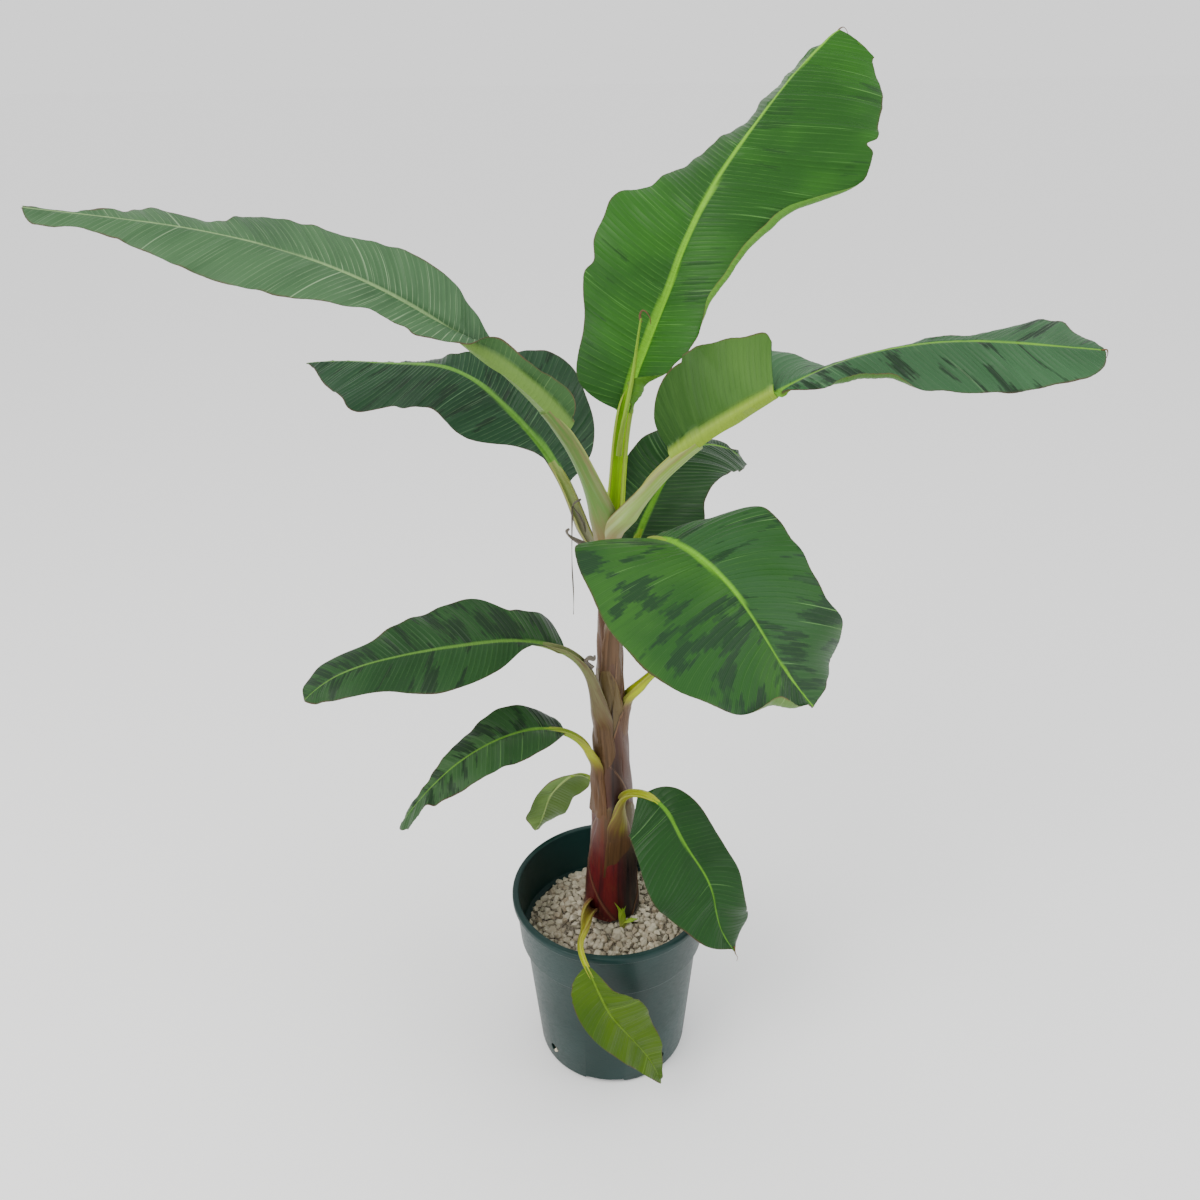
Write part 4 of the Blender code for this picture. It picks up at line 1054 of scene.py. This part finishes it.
def make_pot():
    outline = rounded(POT_OUTLINE)
    points = upright(outline[:, :1], full_circle(POT_AROUND), outline[:, 1:])
    pot = piece("pot_moulded", points, loop_faces(len(outline), POT_AROUND), [pot_material()],
                ("pot",), sharp=45)
    long, wide, tall = (size / 2 for size in NOTCH_SIZE)
    block = [(x * long, y * wide * (1 - 0.1 * (z > 0)), z * tall)
             for z in (-1, 1) for x, y in ((-1, -1), (1, -1), (1, 1), (-1, 1))]
    ring = [(x, DRAIN_RADIUS * math.cos(a), DRAIN_RADIUS * math.sin(a))
            for x in (-DRAIN_DEPTH, DRAIN_DEPTH) for a in full_circle(DRAIN_SIDES)]
    for turn in (DRAIN_TURN + 90 * k for k in range(4)):
        cut(pot, "notch", block, BLOCK_FACES, turn + 45, FOOT_RADIUS, 0.0)
        cut(pot, "drain", ring, loop_faces(2, DRAIN_SIDES), turn, DRAIN_REACH, DRAIN_HEIGHT)


make_pot()


# ---------------------------------------------------------------- pumice and mix
PUMICE_EDGE = 0.184
PUMICE_MOUND = 0.195
BED_RADIUS = 0.1150
STONE_TRIES = 40000             # places tried for each layer of stones
STONE_FACETS = 9                # flat faces worn on each stone
STEM_CLEAR = 0.0335             # radius round the stem that stones stay out of
STONE_CLOSE, STONE_CLOSER = 0.86, 0.70      # least distance of two stones over their sizes: at first, later
LEDGE_HEIGHTS = (0.1832, 0.1852)            # where the pot's wall widens from the body to the collar,
LEDGE_RADII = (0.1088, 0.1150)              # and the radii that stones keep inside of there
BED_AROUND = 96
BED_OUTER, BED_INNER = 0.1090, 0.034
BED_DROP, BED_EDGE_DROP = 0.006, 0.0055     # how far the grit lies below the bed's surface, and at the wall
BED_FOOT, BED_BASE = 0.1084, 0.1645         # radius and height of its lowest ring


def bed_height(x, y):
    """Height of the pumice's surface, mounded a little towards the stem."""
    share = np.clip(np.hypot(x - STEM_X, y - STEM_Y) - 0.040, 0, 0.075) / 0.075
    return PUMICE_EDGE + (PUMICE_MOUND - PUMICE_EDGE) * (1 + np.cos(math.pi * share)) / 2


def pumice_material():
    g = Graph("pumice_stone", 0.9, 0.3)
    at, tint = g.spot(), g.field("tint")
    colour = g.lay((0.56, 0.51, 0.39), (0.40, 0.355, 0.265), tint, 0.0, 0.5)
    colour = g.lay(colour, (0.32, 0.26, 0.18), tint, 0.70, 1.0)
    pore = g.noise(at, 900, 3, 0.7)
    colour = g.lay(colour, (0.62, 0.57, 0.46), g.noise(at, 190, 3, 0.6), 0.45, 0.7, 0, 0.4)
    colour = g.lay(colour, (0.30, 0.25, 0.19), pore, 0.56, 0.7, 0, 0.6)
    return g.finish(colour, None, g.bump(pore, 0.0006, -1.0))


def grit_material(name, scale, dark, light, low, high):
    g = Graph(name, 0.95, 0.2)
    grit = g.noise(g.spot(), scale, 4, 0.7)
    return g.finish(g.lay(dark, light, grit, low, high), None, g.bump(grit, 0.002))


def stone_spots(draw, count, smallest, largest):
    """Places and sizes of stones that keep clear of the stem and of each other."""
    spots = []
    for attempt in range(STONE_TRIES):
        if len(spots) >= count:
            break
        size = smallest + (largest - smallest) * draw.random() ** 1.5
        turn, away = 2 * math.pi * draw.random(), (BED_RADIUS - size * 0.9) * math.sqrt(draw.random())
        x, y = away * math.cos(turn), away * math.sin(turn)
        if math.hypot(x - STEM_X, y - STEM_Y) < STEM_CLEAR + size * 0.8:
            continue
        close = STONE_CLOSE if attempt < STONE_TRIES / 2 else STONE_CLOSER
        if any((x - a) ** 2 + (y - b) ** 2 < (close * (size + c)) ** 2 for a, b, c in spots):
            continue
        spots.append((x, y, size))
    return spots


def stone_shape(draw, ball, size):
    """One stone from a ball's points: worn flat on a few sides, lumpy, stretched and turned."""
    stone = ball.copy()
    for _ in range(STONE_FACETS):
        axis = unit(np.array([draw.gauss(0, 1) for _ in range(3)]))
        over = np.maximum(stone @ axis - 0.50 - 0.32 * draw.random(), 0)
        stone -= over[:, None] * axis * 0.97
    lump = sum(0.06 * np.sin(stone @ np.array([draw.uniform(2, 6) for _ in range(3)]) + draw.uniform(0, 6))
               for _ in range(3))
    stone *= (1 + lump)[:, None]
    stretch = np.array([draw.uniform(0.85, 1.3), draw.uniform(0.8, 1.1), draw.uniform(0.65, 0.95)])
    turn = draw.uniform(0, 2 * math.pi)
    tilt = draw.uniform(-0.5, 0.5)
    c, s, ct, st = math.cos(turn), math.sin(turn), math.cos(tilt), math.sin(tilt)
    spin = np.array([[c, -s, 0], [s, c, 0], [0, 0, 1]]) @ np.array([[1, 0, 0], [0, ct, -st], [0, st, ct]])
    return (stone * stretch * size) @ spin.T


def make_stones(name, count, smallest, largest, sunk, detail, seed):
    draw = random.Random(seed)
    sphere = bmesh.new()
    bmesh.ops.create_icosphere(sphere, subdivisions=detail, radius=1)
    ball = np.array([v.co for v in sphere.verts])
    faces = np.array([[v.index for v in f.verts] for f in sphere.faces])
    sphere.free()
    points, tints = [], []
    for x, y, size in stone_spots(draw, count, smallest, largest):
        stone = stone_shape(draw, ball, size)
        lift = bed_height(x, y) - sunk - size * draw.uniform(0.30, 1.15)
        stone = stone + np.array([x, y, lift])
        # A stone at the wall lies against it, above the ledge where the collar narrows to the body.
        wall = np.interp(stone[:, 2], LEDGE_HEIGHTS, LEDGE_RADII)
        stone[:, :2] *= np.minimum(1, wall / np.hypot(stone[:, 0], stone[:, 1]))[:, None]
        points.append(stone)
        tints.append(np.full(len(ball), draw.random()))
    faces = np.concatenate([faces + number * len(ball) for number in range(len(points))]).tolist()
    piece(name, points, faces, [pumice_material()], fields={"tint": tints}, sharp=25)


def make_bed():
    """A bed of finer grit under the stones, as rings that go up at the wall and then in to the stem; its dark
    colour is painted shade in the gaps between the stones.
    """
    turn = full_circle(BED_AROUND)
    rings = [upright(BED_FOOT, turn, BED_BASE)]
    around_stem = [(STEM_X * (1 - s), STEM_Y * (1 - s), BED_INNER + (BED_OUTER - BED_INNER) * s, BED_DROP)
                   for s in (0.8, 0.6, 0.4, 0.2, 0)]
    for x, y, radius, drop in [(0, 0, BED_OUTER, BED_EDGE_DROP)] + around_stem:
        ring = upright(radius, turn, 0, x, y)
        ring[:, 2] = bed_height(ring[:, 0], ring[:, 1]) - drop
        rings.append(ring)
    # Painted shade: the grit's dark colours darken the gaps between the stones where shade falls.
    grit = grit_material("pumice_grit_painted_shade", 420, (0.09, 0.075, 0.055), (0.34, 0.30, 0.23), 0.4, 0.62)
    piece("pumice_bed", rings, loop_faces(len(rings), BED_AROUND), [grit], ("pumice_topping",))


make_bed()
make_stones("pumice_stones", 610, 0.0042, 0.0076, 0.001, 3, 41)
make_stones("pumice_stones_below", 620, 0.0042, 0.0066, 0.0045, 2, 43)
earth = grit_material("potting_mix", 220, (0.020, 0.012, 0.008), (0.09, 0.06, 0.035), 0.4, 0.6)
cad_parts["potting_mix"].material_slots[0].material = earth


# ---------------------------------------------------------------- small pieces
SPROUT_FOOT = (0.0145, -0.0115, PLANT_FOOT)
# How far each of the shoot's leaves goes sideways, back and up, and how much of that lean is low down.
SPROUT_LEAVES = ((-0.0100, 0.000, 0.036, 0.30), (0.0000, 0.000, 0.027, 0.45), (0.0045, 0.001, 0.030, 0.20),
                 (0.0200, -0.004, 0.012, 0.45))
SPEAR_STEPS = 12
# Millimetres from the rolled leaf's tip to the knots of its hook.
SPEAR_HOOK = ((0, 0, -4), (-1, 0, 3), (1, -2, 8), (5, -3, 7), (9, -3, 1), (10, -2, -6))
# Millimetres from a leaf's tip to the knots of its dried thread.
TIP_THREADS = {
    "top_leaf": ((-3, 0, -6), (1, 0, -1), (5, -2, 0), (9, -3, -5), (7, -4, -9)),
    "right_long_leaf": ((-7, 0, 0), (-2, 0, 0.5), (-1, -1, -4), (-3, -2, -9)),
    "right_low_leaf": ((0, 2, 5), (1, -1, -3), (4, -2, -9), (3, -2, -15)),
}
# The share of left_back_leaf's limb that the dried threads hang from, and how far each one goes
# sideways and down.
HANG_AT = 0.17
HANGING = ((-0.004, 0.135), (0.012, 0.060))
# A point on the stem, and millimetres from it to the knots of a curled stub.
STUBS = (
    ((-0.020, 0.016, 0.724),
     ((10, 6, -6), (2, 0, -2), (-8, -4, 5), (-19, -6, 13), (-23, -8, 20), (-20, -9, 24))),
    ((-0.024, -0.003, 0.585),
     ((6, 2, -8), (0, -2, -1), (-2, -4, 5), (3, -6, 10), (8, -7, 9), (9, -7, 14))),
)
GRIT_REACH = 0.0985             # distance of the drain grit from the pot's axis
GRIT_SIZE = 0.0026
GRIT_AROUND = 10
GRIT_TILTS = (-80, -40, 0, 40, 80)
GRIT_SPOTS = ((0.0022, 0.0222), (0.0046, 0.0255))       # how far aside and how high each stone lies


def strand(name, knots, radii, materials, replaces=(), sides=10, rings=40, flat=1.0, twist=0.0):
    """Tapering strand through a few knots: flat is its section's height over its width."""
    knots = np.asarray(knots, float)
    at = np.linspace(0, 1, rings)
    path = np.stack([profile(knots[:, k], at) for k in range(3)], -1)
    tangent = unit(np.gradient(path, axis=0))
    side = np.cross(tangent[0], (0, 1, 0) if abs(tangent[0][1]) < 0.9 else (1, 0, 0))
    turn = full_circle(sides)
    radius = profile(radii, at)
    points = []
    for k in range(rings):
        side = unit(side - tangent[k] * (side @ tangent[k]))
        up = np.cross(tangent[k], side)
        c, s = math.cos(twist * at[k]), math.sin(twist * at[k])
        across, over = side * c + up * s, up * c - side * s
        ring = np.cos(turn)[:, None] * across + flat * np.sin(turn)[:, None] * over
        points.append(path[k] + radius[k] * ring)
    length = np.concatenate([[0], np.cumsum(np.linalg.norm(np.diff(path, axis=0), axis=1))])
    plain = np.zeros(rings * sides)
    return piece(name, points, loop_faces(rings, sides), materials, replaces,
                 uv=vein_uv(length[:, None], turn * 0.01),
                 fields={"along": np.repeat(at, sides), "edge": plain, "band": plain})


def dried_material(name, seed, light=(0.20, 0.115, 0.055), dark=(0.055, 0.028, 0.014)):
    g = Graph(name, 0.6, 0.2)
    fibre = g.grain(g.vein_map(seed, seed, 0)[1], 60, 900, 3, 0.6)
    return g.finish(g.lay(dark, light, fibre, 0.35, 0.65), None, g.bump(fibre, 0.0003))


def young_skin(name, seed, foot, mid, top, streak):
    return stalk_material(name, seed, foot, mid, top, edge=(0.3, 0.3, 0.1), streak=streak, streak_amount=0.4)


def make_spear():
    """The next leaf, still rolled: it stands in front of the midrib and ends in a dried hook."""
    path = limb_path(SPEAR, SPEAR_STEPS)
    radii = np.linspace(0.0034, 0.0014, SPEAR_STEPS)
    lime = young_skin("new_leaf_spear_skin", 5, (0.24, 0.36, 0.04), (0.22, 0.38, 0.03), (0.16, 0.30, 0.02),
                      (0.10, 0.20, 0.02))
    strand("new_leaf_spear_rolled", path, radii, [lime], ("new_leaf_spear",), sides=16, rings=60,
           flat=0.8, twist=5.0)
    hook = path[-1] + np.array(SPEAR_HOOK) / 1000
    strand("new_leaf_spear_hook", hook, (0.0015, 0.0012, 0.0009, 0.0006, 0.0004),
           [dried_material("dried_hook", 2)], flat=0.7)


def make_sprout():
    """Four narrow leaves that stand round one foot."""
    foot = np.array(SPROUT_FOOT)
    green = young_skin("basal_shoot_green", 9, (0.34, 0.38, 0.07), (0.26, 0.38, 0.03), (0.18, 0.32, 0.02),
                       (0.10, 0.18, 0.02))
    for number, (x, y, height, lean) in enumerate(SPROUT_LEAVES):
        middle = foot + (x * lean, y * lean, height * 0.62)
        knots = [foot - (0, 0, 0.006), (foot + middle) / 2, middle, foot + (x, y, height)]
        strand("basal_shoot_leaf_%d" % number, knots, (0.0036, 0.0042, 0.0034, 0.0004), [green],
               ("basal_shoot",), sides=12, rings=30, flat=0.38, twist=1.2 * number - 1)


def make_dried_bits():
    """Dried threads at leaf tips, the threads that hang from a stalk, and curled stubs on the stem."""
    brown = dried_material("dried_brown", 4)
    ash = dried_material("dried_grey", 7, (0.17, 0.15, 0.12), (0.045, 0.038, 0.032))
    for name, turns in TIP_THREADS.items():
        tip = BladeSurface(LEAVES[name]).path[-1]
        strand(name + "_tip_thread", tip + np.array(turns) / 1000, (0.0012, 0.0008, 0.0005, 0.0004), [brown],
               flat=0.6, twist=2)
    hold = cut_path(limb_path(LEAVES["left_back_leaf"], 641), HANG_AT, HANG_AT, 1)[0]
    for number, (reach, drop) in enumerate(HANGING):
        knots = hold + np.array([
            (0.008, -0.005, 0.008), (-0.001, -0.0105, 0.003), (reach * 0.6, -0.011, -0.012),
            (reach, -0.010, -drop * 0.5), (reach * 0.8, -0.012, -drop * 0.8), (reach, -0.011, -drop)])
        strand("hanging_thread_%d" % number, knots, (0.0012, 0.0013, 0.0010, 0.0008, 0.0006), [ash],
               flat=0.4, twist=9, rings=70)
    for number, (at, turns) in enumerate(STUBS):
        strand("dried_stub_%d" % number, at + np.array(turns) / 1000, (0.0034, 0.0038, 0.0030, 0.0012), [ash],
               flat=0.45, twist=2.5, sides=14)


def make_drain_grit():
    """Two pale stones that show in the drain hole on the left."""
    draw = random.Random(8)
    angle = math.radians(DRAIN_TURN)
    ring = full_circle(GRIT_AROUND)
    points, faces = [], []
    for number, (aside, height) in enumerate(GRIT_SPOTS):
        size = GRIT_SIZE * draw.uniform(0.8, 1.2)
        for tilt in GRIT_TILTS:
            lump = size * np.array([draw.uniform(0.8, 1.15) for _ in ring])
            c, s = math.cos(math.radians(tilt)), math.sin(math.radians(tilt))
            out = GRIT_REACH + lump * c * np.cos(ring)
            across = aside + lump * c * np.sin(ring)
            points.append(np.stack([out * math.cos(angle) - across * math.sin(angle),
                                    out * math.sin(angle) + across * math.cos(angle),
                                    height + (0 * ring + size * s)], -1))
        first = number * GRIT_AROUND * len(GRIT_TILTS)
        faces += [[v + first for v in face] for face in loop_faces(len(GRIT_TILTS), GRIT_AROUND)]
    tint = np.full(GRIT_AROUND * len(points), 0.2)
    piece("drain_grit", points, faces, [pumice_material()], fields={"tint": tint}, sharp=40)


make_spear()
make_sprout()
make_dried_bits()
make_drain_grit()


# ---------------------------------------------------------------- stage
FLOOR_REACH = 40
FLOOR_BELOW = 0.0005            # how far the floor lies under the pot's foot
WORLD_LIGHT = 1.3
LIGHT_AIM = (0, 0, 0.6)
LAMPS = (                       # name, place, size, power and colour
    ("key_light", (-1.6, -1.4, 2.6), 1.6, 60, (1.0, 0.98, 0.95)),
    ("fill_light", (1.8, -0.8, 2.0), 1.6, 20, (0.95, 0.98, 1.0)),
)


def make_stage():
    ground = bpy.data.meshes.new("floor")
    corners = [(x * FLOOR_REACH, y * FLOOR_REACH, 0) for x, y in ((-1, -1), (1, -1), (1, 1), (-1, 1))]
    ground.from_pydata(corners, [], [(0, 1, 2, 3)])
    ground.materials.append(Graph("floor_white", 0.8, 0.1).finish((0.985, 0.985, 0.985)))
    placed("floor", ground, (0, 0, -FLOOR_BELOW))
    world = bpy.data.worlds.new("studio")
    world.use_nodes = True
    background = world.node_tree.nodes["Background"]
    background.inputs[0].default_value = (1, 1, 1, 1)
    background.inputs[1].default_value = WORLD_LIGHT
    bpy.context.scene.world = world
    for name, spot, size, power, tint in LAMPS:
        light = bpy.data.lights.new(name, "AREA")
        light.size = size
        light.energy = power
        light.color = tint
        lamp = placed(name, light, spot)
        lamp.rotation_euler = Vector(np.array(LIGHT_AIM) - spot).to_track_quat("-Z", "Y").to_euler()


make_stage()
